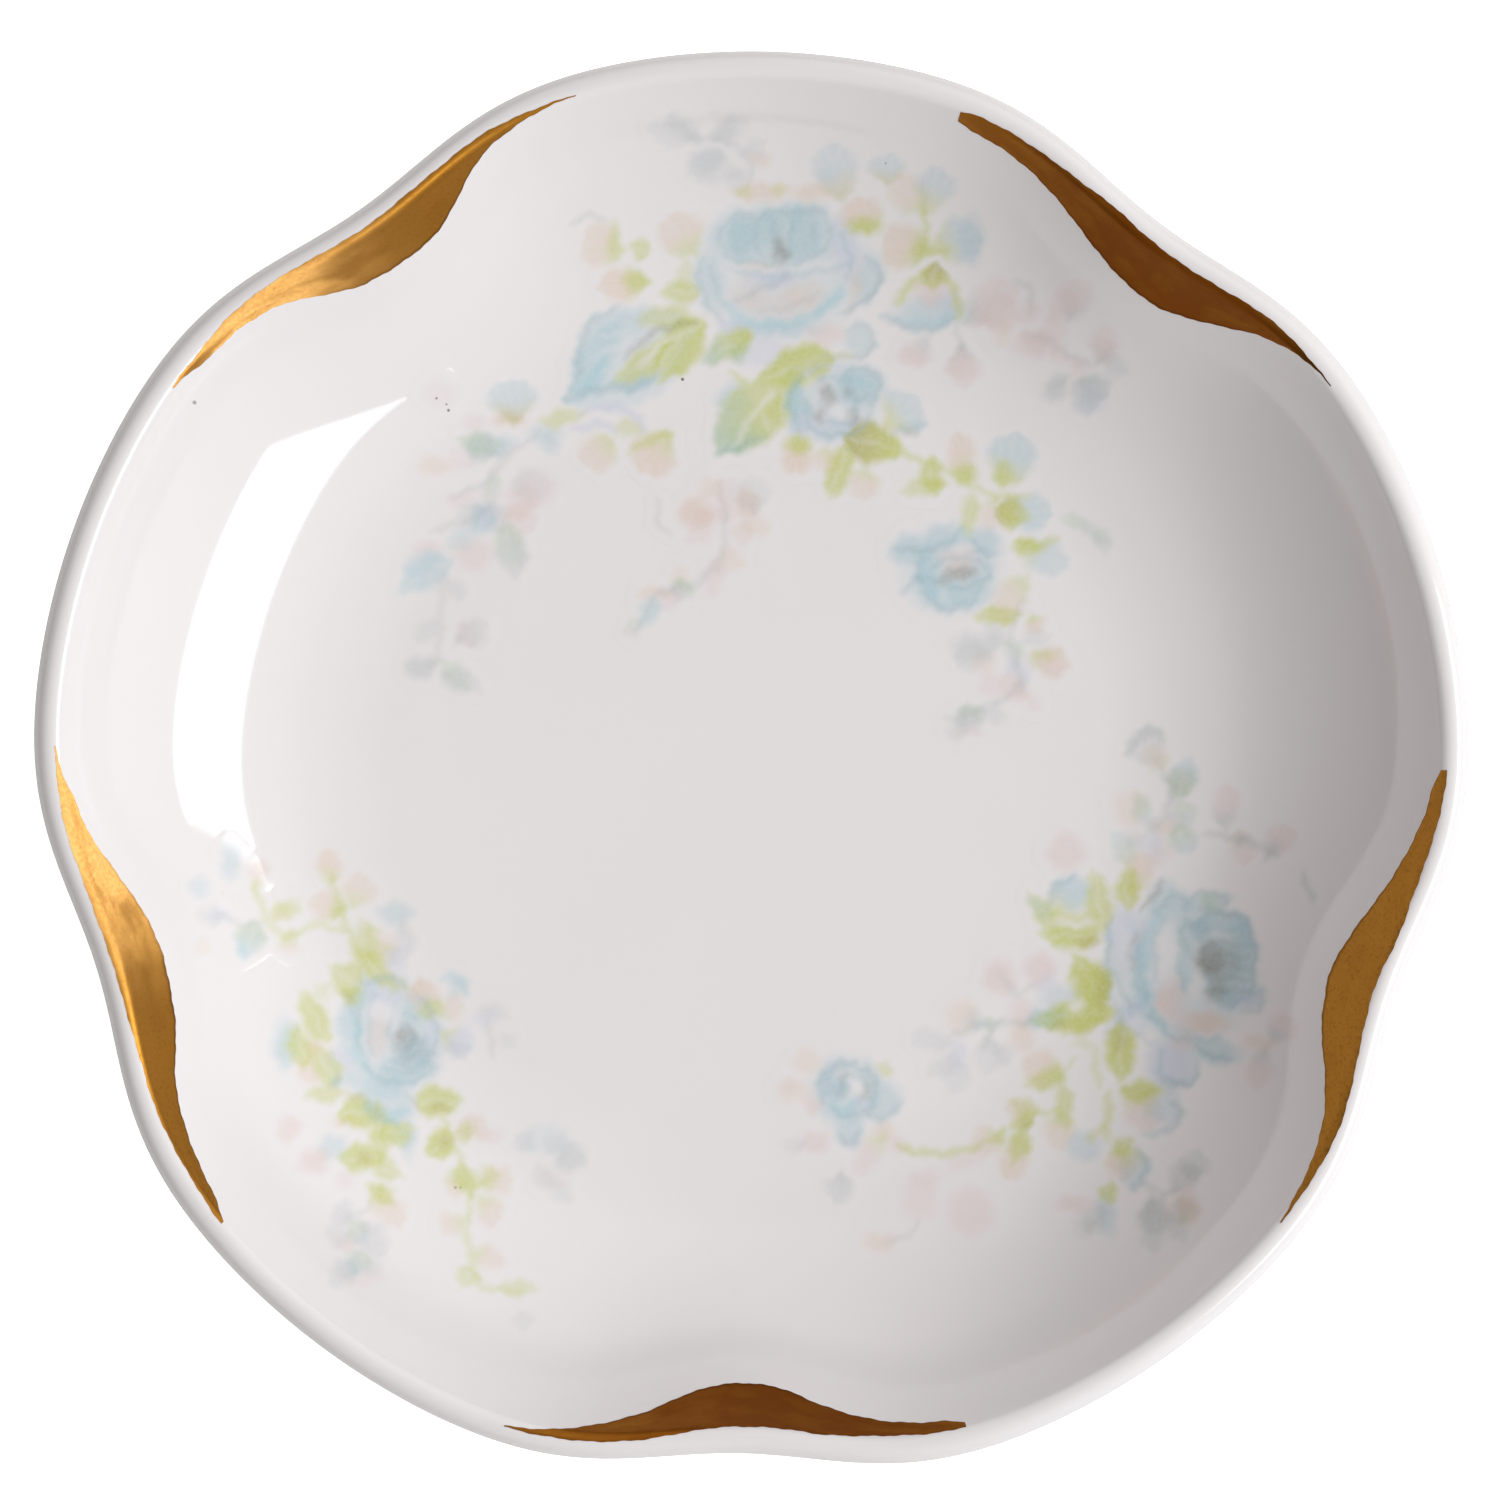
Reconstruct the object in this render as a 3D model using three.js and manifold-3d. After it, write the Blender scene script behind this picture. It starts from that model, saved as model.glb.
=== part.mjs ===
// A porcelain butter pat: a small five-lobed dish on a foot ring, with a gilt stroke inside the lip
// at each pinch and three printed rose sprays in the well.
// Millimetres and degrees, +Z up. The foot ring stands on z = 0, and the first pinch points along -Y.

import * as THREE from 'three';
import { mergeVertices } from 'three/addons/utils/BufferGeometryUtils.js';
import Module from 'manifold-3d';

// Plan of the lip: how far it stands from the axis over a lobe, and how far it is drawn in between two
const LOBES = 5;
const LOBE_RADIUS = 39.5;
const PINCH_DEPTH = 1.95;
const PINCH_SHARPNESS = 7.3;

// Section of the dish: the foot ring is given at the middle of its width, and its height is the depth
// of the recess inside it
const RIM_HEIGHT = 13;
const WALL_THICKNESS = 1.8;
const WALL_SLOPE = 52;
const FLOOR_RADIUS = 20;
const FLOOR_THICKNESS = 2.2;
const FOOT_HEIGHT = 1.2;
const FOOT_RADIUS = 22;
const FOOT_WIDTH = 2.4;
const FOOT_EDGE = 0.3;

// Gilding, laid just inside the lip and drawn up on to its shoulder, which ends at an angle on the round
const GILT_THICKNESS = 0.06;
const GILT_INSET = 1.15;
const GILT_WIDTH = 2.5;
const GILT_TIP_WIDTH = 0.3;
const SHOULDER_ANGLE = 118;

// Printed transfers
const TRANSFER_THICKNESS = 0.06;
const STEM_WIDTH = 0.5;

// Gap between the dish and what is laid on it
const SEAT_GAP = 0.08;

// Facets
const SEGMENTS = 70;
const FLOOR_STEPS = 3;
const WALL_STEPS = 9;
const LIP_STEPS = 6;
const SHOULDER_STEPS = 2;
const GILT_STEPS = 18;
const ROSE_STEPS = 21;
const STEM_STEPS = 10;
const LEAF_CURVE_STEPS = 3;

// The five strokes: the angles that each one reaches on the two sides of its pinch, and how full its
// brush was
const GILT_STROKES = [
  { name: 'gilt_stroke_front', from: -18.8, to: 18.8, fullness: 0.89 },
  { name: 'gilt_stroke_right', from: -19.0, to: 18.7, fullness: 0.98 },
  { name: 'gilt_stroke_back_right', from: -17.5, to: 19.2, fullness: 1.04 },
  { name: 'gilt_stroke_back_left', from: -18.6, to: 20.3, fullness: 1.06 },
  { name: 'gilt_stroke_left', from: -16.8, to: 22.9, fullness: 1.06 },
];

// The sprays are printed to suit the well, so they are laid out in hundredths of its radius:
// roses as centre and radius, and stems as a path with so many leaves of one length.
const SPRAYS = [
  {
    name: 'transfer_spray_back',
    roses: [[4, 71, 12], [11, 53, 6.5], [28, 29, 7.5]],
    stems: [
      { path: [[4, 71], [-9, 60], [-26, 53], [-40, 48], [-46, 27], [-43, 12]], leaves: 12, leaf: 9 },
      { path: [[4, 71], [11, 53], [18, 46], [27, 43], [36, 38]], leaves: 9, leaf: 7 },
      { path: [[20, 45], [26, 36], [34, 25], [40, 20], [36, 8]], leaves: 7, leaf: 7 },
      { path: [[4, 71], [18, 80], [31, 74], [38, 66], [50, 62], [49, 53]], leaves: 10, leaf: 8 },
      { path: [[4, 71], [-9, 73], [-17, 74], [-25, 77]], leaves: 6, leaf: 7 },
      { path: [[4, 71], [2, 82], [-8, 91]], leaves: 4, leaf: 6 },
      { path: [[2, 62], [-1, 50], [-5, 38], [-3, 28], [-14, 22]], leaves: 7, leaf: 7 },
    ],
  },
  {
    name: 'transfer_spray_right',
    roses: [[64, -28, 11.5], [16, -46, 6]],
    stems: [
      { path: [[64, -28], [54, -46], [49, -54], [52, -63], [58, -67]], leaves: 9, leaf: 8 },
      { path: [[56, -42], [38, -51], [28, -55], [16, -46]], leaves: 7, leaf: 7 },
      { path: [[33, -53], [25, -60], [19, -67]], leaves: 4, leaf: 6 },
      { path: [[64, -28], [50, -22], [40, -29], [31, -34]], leaves: 8, leaf: 8 },
      { path: [[64, -28], [57, -12], [61, -3], [57, 3]], leaves: 7, leaf: 7 },
    ],
  },
  {
    name: 'transfer_spray_left',
    roses: [[-51, -40, 9.5]],
    stems: [
      { path: [[-51, -40], [-55, -29], [-58, -22], [-60, -15]], leaves: 6, leaf: 7 },
      { path: [[-57, -24], [-66, -25], [-75, -16]], leaves: 5, leaf: 6 },
      { path: [[-51, -40], [-53, -53], [-50, -64], [-54, -73]], leaves: 7, leaf: 7 },
      { path: [[-51, -40], [-43, -50], [-39, -60], [-38, -70], [-32, -80]], leaves: 10, leaf: 7 },
      { path: [[-51, -40], [-44, -34], [-36, -35]], leaves: 4, leaf: 6 },
    ],
  },
];
const ROSE_PETALS = 7;
const ROSE_SCALLOP = 0.08;
const LEAF_SLENDERNESS = 0.34;
const LEAF_SPREAD = 48;

const wasm = await Module();
wasm.setup();

const radians = THREE.MathUtils.degToRad;

// Half section of the dish at a lobe, as radius and height
const floorTop = FOOT_HEIGHT + FLOOR_THICKNESS;
const footInner = FOOT_RADIUS - FOOT_WIDTH / 2;
const footOuter = FOOT_RADIUS + FOOT_WIDTH / 2;
const lipRound = WALL_THICKNESS / 2;
const lipCentre = new THREE.Vector2(LOBE_RADIUS - lipRound, RIM_HEIGHT - lipRound);
const wallTop = lipPoint(WALL_SLOPE + 90, 0);
const wallBend = wallTop.x - (wallTop.y - floorTop) / Math.tan(radians(WALL_SLOPE));
const wallCurve = new THREE.QuadraticBezierCurve(
  new THREE.Vector2(FLOOR_RADIUS, floorTop),
  new THREE.Vector2(wallBend, floorTop),
  wallTop,
);
const wellRadius = wallTop.x;

// A point of the rounded lip, or so far above it
function lipPoint(angle, lift) {
  const reach = lipRound + lift;
  return new THREE.Vector2(
    lipCentre.x + reach * Math.cos(radians(angle)),
    lipCentre.y + reach * Math.sin(radians(angle)),
  );
}

// The wall's inner face, lifted off along its normal; a negative lift gives the outer face
function wallLine(lift) {
  const points = [];
  for (let i = 0; i <= WALL_STEPS; i++) {
    const along = wallCurve.getTangent(i / WALL_STEPS);
    const normal = new THREE.Vector2(-along.y, along.x);
    points.push(wallCurve.getPoint(i / WALL_STEPS).addScaledVector(normal, lift));
  }
  return points;
}

// The inside of the dish from the axis to the top of the wall
function insideLine(lift) {
  const floor = [];
  for (let i = 0; i < FLOOR_STEPS; i++) {
    floor.push(new THREE.Vector2((FLOOR_RADIUS * i) / FLOOR_STEPS, floorTop + lift));
  }
  return [...floor, ...wallLine(lift)];
}

// The outer face of the wall from the foot ring up to the lip
function outsideLine() {
  const line = wallLine(-WALL_THICKNESS);
  const first = line.findIndex((point) => point.x > footOuter + FOOT_EDGE);
  const after = line[first];
  const before = first > 0 ? line[first - 1] : new THREE.Vector2(0, after.y);
  const share = (footOuter - before.x) / (after.x - before.x);
  const root = new THREE.Vector2(footOuter, THREE.MathUtils.lerp(before.y, after.y, share));
  return [root, ...line.slice(first, -1)];
}

function dishSection() {
  const foot = [
    new THREE.Vector2(0, FOOT_HEIGHT),
    new THREE.Vector2(footInner - FOOT_EDGE, FOOT_HEIGHT),
    new THREE.Vector2(footInner, FOOT_HEIGHT - FOOT_EDGE),
    new THREE.Vector2(footInner, FOOT_EDGE),
    new THREE.Vector2(footInner + FOOT_EDGE, 0),
    new THREE.Vector2(footOuter - FOOT_EDGE, 0),
    new THREE.Vector2(footOuter, FOOT_EDGE),
  ];
  const lip = [];
  for (let i = 0; i < LIP_STEPS; i++) {
    lip.push(lipPoint(WALL_SLOPE - 90 + (180 * i) / LIP_STEPS, 0));
  }
  return [...foot, ...outsideLine(), ...lip, ...insideLine(0).reverse()];
}

// A film of the given thickness over the whole inside, up to the shoulder of the lip
function filmSection(thickness) {
  const face = (lift) => {
    const shoulder = [];
    for (let i = 1; i <= SHOULDER_STEPS; i++) {
      const turn = ((WALL_SLOPE + 90 - SHOULDER_ANGLE) * i) / SHOULDER_STEPS;
      shoulder.push(lipPoint(WALL_SLOPE + 90 - turn, lift));
    }
    return [...insideLine(lift), ...shoulder];
  };
  return [...face(SEAT_GAP), ...face(SEAT_GAP + thickness).reverse()];
}

// How far the lip is drawn in at an angle: most at each pinch, hardly at all over the lobes
function pinchAt(angle) {
  const turn = (LOBES * (angle + Math.PI / 2)) / 2;
  return PINCH_DEPTH * Math.abs(Math.cos(turn)) ** PINCH_SHARPNESS;
}

// The wall takes up the lobes gradually, from round at the foot ring to fully lobed at the lip
function drawnIn(radius, angle) {
  return pinchAt(angle) * THREE.MathUtils.smoothstep(radius, footOuter, LOBE_RADIUS);
}

// Turns a half section round the axis and draws it in at the pinches
function lobedSolid(section) {
  const geometry = new THREE.LatheGeometry(section, SEGMENTS);
  geometry.rotateX(Math.PI / 2);
  const position = geometry.attributes.position;
  for (let i = 0; i < position.count; i++) {
    const x = position.getX(i);
    const y = position.getY(i);
    const radius = Math.hypot(x, y);
    const scale = radius > 0 ? 1 - drawnIn(radius, Math.atan2(y, x)) / radius : 1;
    position.setXY(i, x * scale, y * scale);
  }
  return solidOf(geometry);
}

// A closed solid from a geometry, with shared vertices merged and collapsed triangles left out
function solidOf(geometry) {
  const bare = geometry.clone();
  bare.deleteAttribute('normal');
  bare.deleteAttribute('uv');
  const merged = mergeVertices(bare);
  const corners = merged.index.array;
  const kept = [];
  for (let i = 0; i < corners.length; i += 3) {
    const [a, b, c] = corners.slice(i, i + 3);
    if (a !== b && b !== c && c !== a) kept.push(a, b, c);
  }
  return new wasm.Manifold(new wasm.Mesh({
    numProp: 3,
    vertProperties: merged.attributes.position.array,
    triVerts: new Uint32Array(kept),
  }));
}

function meshOf(solid, name, material) {
  const { vertProperties, triVerts } = solid.getMesh();
  const geometry = new THREE.BufferGeometry();
  geometry.setAttribute('position', new THREE.BufferAttribute(vertProperties, 3));
  geometry.setIndex(new THREE.BufferAttribute(triVerts, 1));
  geometry.computeVertexNormals();
  const mesh = new THREE.Mesh(geometry, material);
  mesh.name = name;
  return mesh;
}

// A plan outline as an upright prism that reaches past the floor and the lip
function prism(outline) {
  return new THREE.ExtrudeGeometry(outline, {
    depth: RIM_HEIGHT + WALL_THICKNESS,
    bevelEnabled: false,
    curveSegments: LEAF_CURVE_STEPS,
  });
}

// Outline of a gilt stroke: its outer edge follows the lip, its inner edge swells towards the well
function strokeOutline(pinch, stroke) {
  const outer = [];
  const inner = [];
  for (let i = 0; i <= GILT_STEPS; i++) {
    const offset = THREE.MathUtils.lerp(stroke.from, stroke.to, i / GILT_STEPS);
    const reach = offset < 0 ? offset / stroke.from : offset / stroke.to;
    const angle = pinch + radians(offset);
    const edge = LOBE_RADIUS - pinchAt(angle) - GILT_INSET;
    const swell = (1 + Math.cos(Math.PI * reach)) / 2;
    const width = GILT_TIP_WIDTH + (GILT_WIDTH * stroke.fullness - GILT_TIP_WIDTH) * swell;
    const along = new THREE.Vector2(Math.cos(angle), Math.sin(angle));
    outer.push(along.clone().multiplyScalar(edge));
    inner.push(along.clone().multiplyScalar(edge - width));
  }
  return new THREE.Shape([...outer, ...inner.reverse()]);
}

// A full-blown rose, as a scalloped round
function rosePrism([x, y, radius], share) {
  const points = [];
  for (let i = 0; i < ROSE_STEPS; i++) {
    const angle = (2 * Math.PI * i) / ROSE_STEPS;
    const reach = radius * share * (1 + ROSE_SCALLOP * Math.cos(ROSE_PETALS * angle));
    points.push(new THREE.Vector2(x * share + reach * Math.cos(angle), y * share + reach * Math.sin(angle)));
  }
  return prism(new THREE.Shape(points));
}

// A pointed leaf with its base at a point of the stem
function leafPrism(base, heading, length) {
  const bulge = length * LEAF_SLENDERNESS;
  const shape = new THREE.Shape();
  shape.moveTo(0, 0);
  shape.quadraticCurveTo(length / 2, -bulge, length, 0);
  shape.quadraticCurveTo(length / 2, bulge, 0, 0);
  return prism(shape).rotateZ(heading).translate(base.x, base.y, 0);
}

// A stem as a narrow strip along a smooth path, with leaves on alternate sides
function stemPrisms({ path, leaves, leaf }, share) {
  const curve = new THREE.SplineCurve(path.map(([x, y]) => new THREE.Vector2(x * share, y * share)));
  const left = [];
  const right = [];
  for (let i = 0; i <= STEM_STEPS; i++) {
    const point = curve.getPointAt(i / STEM_STEPS);
    const along = curve.getTangentAt(i / STEM_STEPS);
    const side = new THREE.Vector2(-along.y, along.x).multiplyScalar(STEM_WIDTH / 2);
    left.push(point.clone().add(side));
    right.push(point.clone().sub(side));
  }
  const prisms = [prism(new THREE.Shape([...right, ...left.reverse()]))];
  for (let i = 1; i <= leaves; i++) {
    const at = i / leaves;
    const along = curve.getTangentAt(at).angle();
    const spread = i === leaves ? 0 : radians(LEAF_SPREAD) * (i % 2 ? 1 : -1);
    const base = curve.getPointAt(at - STEM_WIDTH / curve.getLength());
    prisms.push(leafPrism(base, along + spread, leaf * share));
  }
  return prisms;
}

function sprayPlan({ roses, stems }) {
  const share = wellRadius / 100;
  const prisms = [
    ...roses.map((rose) => rosePrism(rose, share)),
    ...stems.flatMap((stem) => stemPrisms(stem, share)),
  ];
  return prisms.map(solidOf).reduce((whole, next) => whole.add(next));
}

const porcelain = new THREE.MeshStandardMaterial({ color: '#edeae8', roughness: 0.12, metalness: 0 });
const gilt = new THREE.MeshStandardMaterial({ color: '#c98f3c', roughness: 0.25, metalness: 1 });
const transfer = new THREE.MeshStandardMaterial({ color: '#b9c9b4', roughness: 0.2, metalness: 0 });

const dish = meshOf(lobedSolid(dishSection()), 'porcelain_dish', porcelain);
const giltFilm = lobedSolid(filmSection(GILT_THICKNESS));
const transferFilm = lobedSolid(filmSection(TRANSFER_THICKNESS));

const strokes = GILT_STROKES.map((stroke, index) => {
  const pinch = -Math.PI / 2 + (2 * Math.PI * index) / LOBES;
  const plan = solidOf(prism(strokeOutline(pinch, stroke)));
  return meshOf(giltFilm.intersect(plan), stroke.name, gilt);
});

const sprays = SPRAYS.map((spray) => meshOf(transferFilm.intersect(sprayPlan(spray)), spray.name, transfer));

const butterPat = new THREE.Group();
butterPat.add(dish, ...strokes, ...sprays);

// The lobes reach further back than the front pinch does, so the plan is centred on the origin
const plan = new THREE.Box3().setFromObject(dish).getCenter(new THREE.Vector3());
butterPat.position.set(-plan.x, -plan.y, 0);

export default butterPat;
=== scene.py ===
"""A porcelain butter pat: a five-lobed dish, gilt strokes inside its lip and three printed rose sprays."""
import math

import bpy
import numpy as np
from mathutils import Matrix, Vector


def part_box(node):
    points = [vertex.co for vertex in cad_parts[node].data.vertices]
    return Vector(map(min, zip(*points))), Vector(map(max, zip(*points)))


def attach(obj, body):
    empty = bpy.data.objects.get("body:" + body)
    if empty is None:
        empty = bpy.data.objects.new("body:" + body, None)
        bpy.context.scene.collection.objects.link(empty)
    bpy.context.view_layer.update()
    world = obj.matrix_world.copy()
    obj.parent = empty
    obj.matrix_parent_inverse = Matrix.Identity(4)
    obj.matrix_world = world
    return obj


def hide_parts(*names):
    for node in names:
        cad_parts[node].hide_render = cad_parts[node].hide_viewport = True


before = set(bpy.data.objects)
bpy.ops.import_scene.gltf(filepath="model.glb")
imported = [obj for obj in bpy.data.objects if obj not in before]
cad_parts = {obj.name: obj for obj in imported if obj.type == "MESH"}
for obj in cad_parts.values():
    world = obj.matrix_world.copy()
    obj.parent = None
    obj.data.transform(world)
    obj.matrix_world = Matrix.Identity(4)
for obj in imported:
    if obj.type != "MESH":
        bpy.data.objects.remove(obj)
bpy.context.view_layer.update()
MM = 0.001

# The dish, in millimetres: its height and place come from the frame, the rest repeats the solid's section
DISH_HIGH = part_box("porcelain_dish")[1]
RIM_HEIGHT = DISH_HIGH[2] / MM
LOBE_RADIUS = 39.5
AXIS_Y = DISH_HIGH[1] / MM - LOBE_RADIUS
LOBES = 5
PINCH_DEPTH = 1.95
PINCH_SHARPNESS = 7.3
WALL_THICKNESS = 1.8
WALL_SLOPE = math.radians(52)
FLOOR_RADIUS = 20.0
FLOOR_TOP = 3.4
FOOT_HEIGHT = 1.2
FOOT_INNER = 20.8
FOOT_OUTER = 23.2
FOOT_ROUND = 0.5
FOOT_FILLET = 0.7

LIP_ROUND = WALL_THICKNESS / 2
LIP_RADIUS = LOBE_RADIUS - LIP_ROUND
LIP_HEIGHT = RIM_HEIGHT - LIP_ROUND
WALL_TOP_RADIUS = LIP_RADIUS - LIP_ROUND * math.sin(WALL_SLOPE)
WALL_TOP_HEIGHT = LIP_HEIGHT + LIP_ROUND * math.cos(WALL_SLOPE)
WALL_RISE = WALL_TOP_HEIGHT - FLOOR_TOP
WALL_BEND_RADIUS = WALL_TOP_RADIUS - WALL_RISE / math.tan(WALL_SLOPE)

# Fineness of the dish's mesh
SPIN_STEPS = 360
WALL_STEPS = 50
LIP_STEPS = 20
ROUND_STEPS = 5
FLOOR_SHARES = (0.8, 0.6, 0.4, 0.2, 0)
MERGE_DISTANCE = 0.001 * MM
SMOOTH_ANGLE = math.radians(40)

# Films on the porcelain; the print's margin dips under the glaze so that its cut edge doesn't show
GILT_LIFT = 0.006
GILT_THICKNESS = 0.012
PRINT_LIFT = 0.004
PRINT_THICKNESS = 0.004
PRINT_SINK = 0.014


def wall_radius(t):
    """Radius of the inner wall, a parabola from the floor's edge at t = 0 to the lip at t = 1."""
    near = WALL_BEND_RADIUS - FLOOR_RADIUS
    far = WALL_TOP_RADIUS - WALL_BEND_RADIUS
    return FLOOR_RADIUS + 2 * near * t + (far - near) * t ** 2


def wall_height(t):
    return FLOOR_TOP + WALL_RISE * t ** 2


def wall_share(radius):
    """The t of the inner wall at a radius."""
    near = WALL_BEND_RADIUS - FLOOR_RADIUS
    bend = WALL_TOP_RADIUS - WALL_BEND_RADIUS - near
    rise = np.clip(radius - FLOOR_RADIUS, 0.0, WALL_TOP_RADIUS - FLOOR_RADIUS)
    return 2 * rise / (2 * near + np.sqrt(np.maximum(4 * near ** 2 + 4 * bend * rise, 0.0)))


def inside_height(radius):
    """Height of the inside at a radius of the lobe section: floor, wall and the round of the lip."""
    lip = np.clip((radius - LIP_RADIUS) / LIP_ROUND, -1.0, 1.0)
    on_lip = LIP_HEIGHT + LIP_ROUND * np.sqrt(1 - lip ** 2)
    return np.where(radius > WALL_TOP_RADIUS, on_lip, wall_height(wall_share(radius)))


def pinch(angle):
    """How far the lip is drawn in: most at each pinch, hardly at all over the lobes."""
    turn = LOBES * (angle + math.pi / 2) / 2
    return PINCH_DEPTH * np.abs(np.cos(turn)) ** PINCH_SHARPNESS


def lobing(radius):
    """Share of the pinch that the wall has taken up: none at the foot ring, all of it at the lip."""
    share = np.clip((radius - FOOT_OUTER) / (LOBE_RADIUS - FOOT_OUTER), 0.0, 1.0)
    return share ** 2 * (3 - 2 * share)


def surface_height(x, y):
    """Height of the inside of the finished dish over a point of its plan, measured from the axis."""
    rounds_to_settle = 15
    reach = np.hypot(x, y)
    drawn = pinch(np.arctan2(y, x))
    radius = reach
    for _ in range(rounds_to_settle):
        radius = reach + drawn * lobing(radius)
    return inside_height(radius)


def arc(radius, height, reach, start, end, steps):
    """Points of an arc in the section, given by its centre, radius and two angles in degrees."""
    angles = np.radians(np.linspace(start, end, steps + 1))
    return [(radius + reach * math.cos(a), height + reach * math.sin(a)) for a in angles]


def dish_section():
    """Half section of the dish at a lobe, from the axis underneath round to the axis inside."""
    points = [(0, FOOT_HEIGHT), (FOOT_INNER / 2, FOOT_HEIGHT)]
    points += arc(FOOT_INNER - FOOT_FILLET, FOOT_HEIGHT - FOOT_FILLET, FOOT_FILLET, 90, 0, ROUND_STEPS)
    points += arc(FOOT_INNER + FOOT_ROUND, FOOT_ROUND, FOOT_ROUND, 180, 270, ROUND_STEPS)
    points += arc(FOOT_OUTER - FOOT_ROUND, FOOT_ROUND, FOOT_ROUND, 270, 360, ROUND_STEPS)
    outer = []
    for t in np.linspace(0, 1, WALL_STEPS + 1):
        run = (WALL_BEND_RADIUS - FLOOR_RADIUS) * (1 - t) + (WALL_TOP_RADIUS - WALL_BEND_RADIUS) * t
        rise = WALL_RISE * t
        length = math.hypot(run, rise)
        radius = wall_radius(t) + WALL_THICKNESS * rise / length
        height = wall_height(t) - WALL_THICKNESS * run / length
        if radius > FOOT_OUTER + FOOT_FILLET:
            outer.append((radius, height))
    end_radius, end_height = outer[0]
    for t in (0.25, 0.5, 0.75):
        a, b, c = (1 - t) ** 2, 2 * t * (1 - t), t ** 2
        points.append(((a + b) * FOOT_OUTER + c * end_radius,
                       a * (end_height - FOOT_FILLET) + (b + c) * end_height))
    points += outer[:-1]
    slope = math.degrees(WALL_SLOPE)
    points += arc(LIP_RADIUS, LIP_HEIGHT, LIP_ROUND, slope - 90, slope + 90, LIP_STEPS)
    points += [(wall_radius(t), wall_height(t)) for t in np.linspace(1, 0, WALL_STEPS + 1)[1:]]
    points += [(FLOOR_RADIUS * share, FLOOR_TOP) for share in FLOOR_SHARES]
    return points


def new_object(name):
    """Names the object that was just added, and returns it."""
    piece = bpy.context.object
    piece.name = name
    piece.data.name = name
    return piece


def read_points(mesh):
    points = np.empty(len(mesh.vertices) * 3)
    mesh.vertices.foreach_get("co", points)
    return points.reshape(-1, 3)


def write_points(mesh, points):
    mesh.vertices.foreach_set("co", np.ascontiguousarray(points).ravel())
    mesh.update()


def face_up(piece):
    """Turns a sheet's faces upwards."""
    if sum(face.normal.z for face in piece.data.polygons) < 0:
        piece.data.flip_normals()


def thicken(piece, thickness):
    """Gives a sheet that lies on the porcelain its thickness."""
    modifier = piece.modifiers.new("Film", "SOLIDIFY")
    modifier.thickness = thickness * MM
    modifier.offset = 1
    bpy.ops.object.modifier_apply(modifier=modifier.name)
    bpy.ops.object.shade_smooth_by_angle(angle=SMOOTH_ANGLE)


def place(piece, node, material):
    """Puts a finished piece on the dish in place of its solid."""
    piece.data.materials.clear()
    piece.data.materials.append(material)
    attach(piece, "root")
    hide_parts(node)


def make_dish(material):
    """Draws the half section as a chain of edges, spins it round the axis and draws the lobes in."""
    section = dish_section()
    bpy.ops.object.select_all(action="DESELECT")
    bpy.ops.mesh.primitive_plane_add(size=2 * MM, location=(0, 0, 0))
    dish = new_object("dish")
    bpy.ops.object.mode_set(mode="EDIT")
    bpy.ops.mesh.select_all(action="SELECT")
    bpy.ops.mesh.merge(type="CENTER")
    bpy.ops.transform.translate(value=(0, AXIS_Y * MM, section[0][1] * MM))
    for (r0, z0), (r1, z1) in zip(section, section[1:]):
        step = ((r1 - r0) * MM, 0, (z1 - z0) * MM)
        bpy.ops.mesh.extrude_region_move(TRANSFORM_OT_translate={"value": step})
    bpy.ops.mesh.select_all(action="SELECT")
    bpy.ops.mesh.spin(steps=SPIN_STEPS, angle=2 * math.pi, center=(0, AXIS_Y * MM, 0), axis=(0, 0, 1))
    bpy.ops.mesh.select_all(action="SELECT")
    bpy.ops.mesh.remove_doubles(threshold=MERGE_DISTANCE)
    bpy.ops.mesh.normals_make_consistent(inside=False)
    bpy.ops.object.mode_set(mode="OBJECT")
    points = read_points(dish.data) / MM
    x, y = points[:, 0], points[:, 1] - AXIS_Y
    reach = np.hypot(x, y)
    drawn = pinch(np.arctan2(y, x)) * lobing(reach)
    scale = 1 - drawn / np.maximum(reach, 1.0)
    points[:, 0] = x * scale
    points[:, 1] = y * scale + AXIS_Y
    write_points(dish.data, points * MM)
    bpy.ops.object.shade_smooth_by_angle(angle=SMOOTH_ANGLE)
    place(dish, "porcelain_dish", material)


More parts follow.
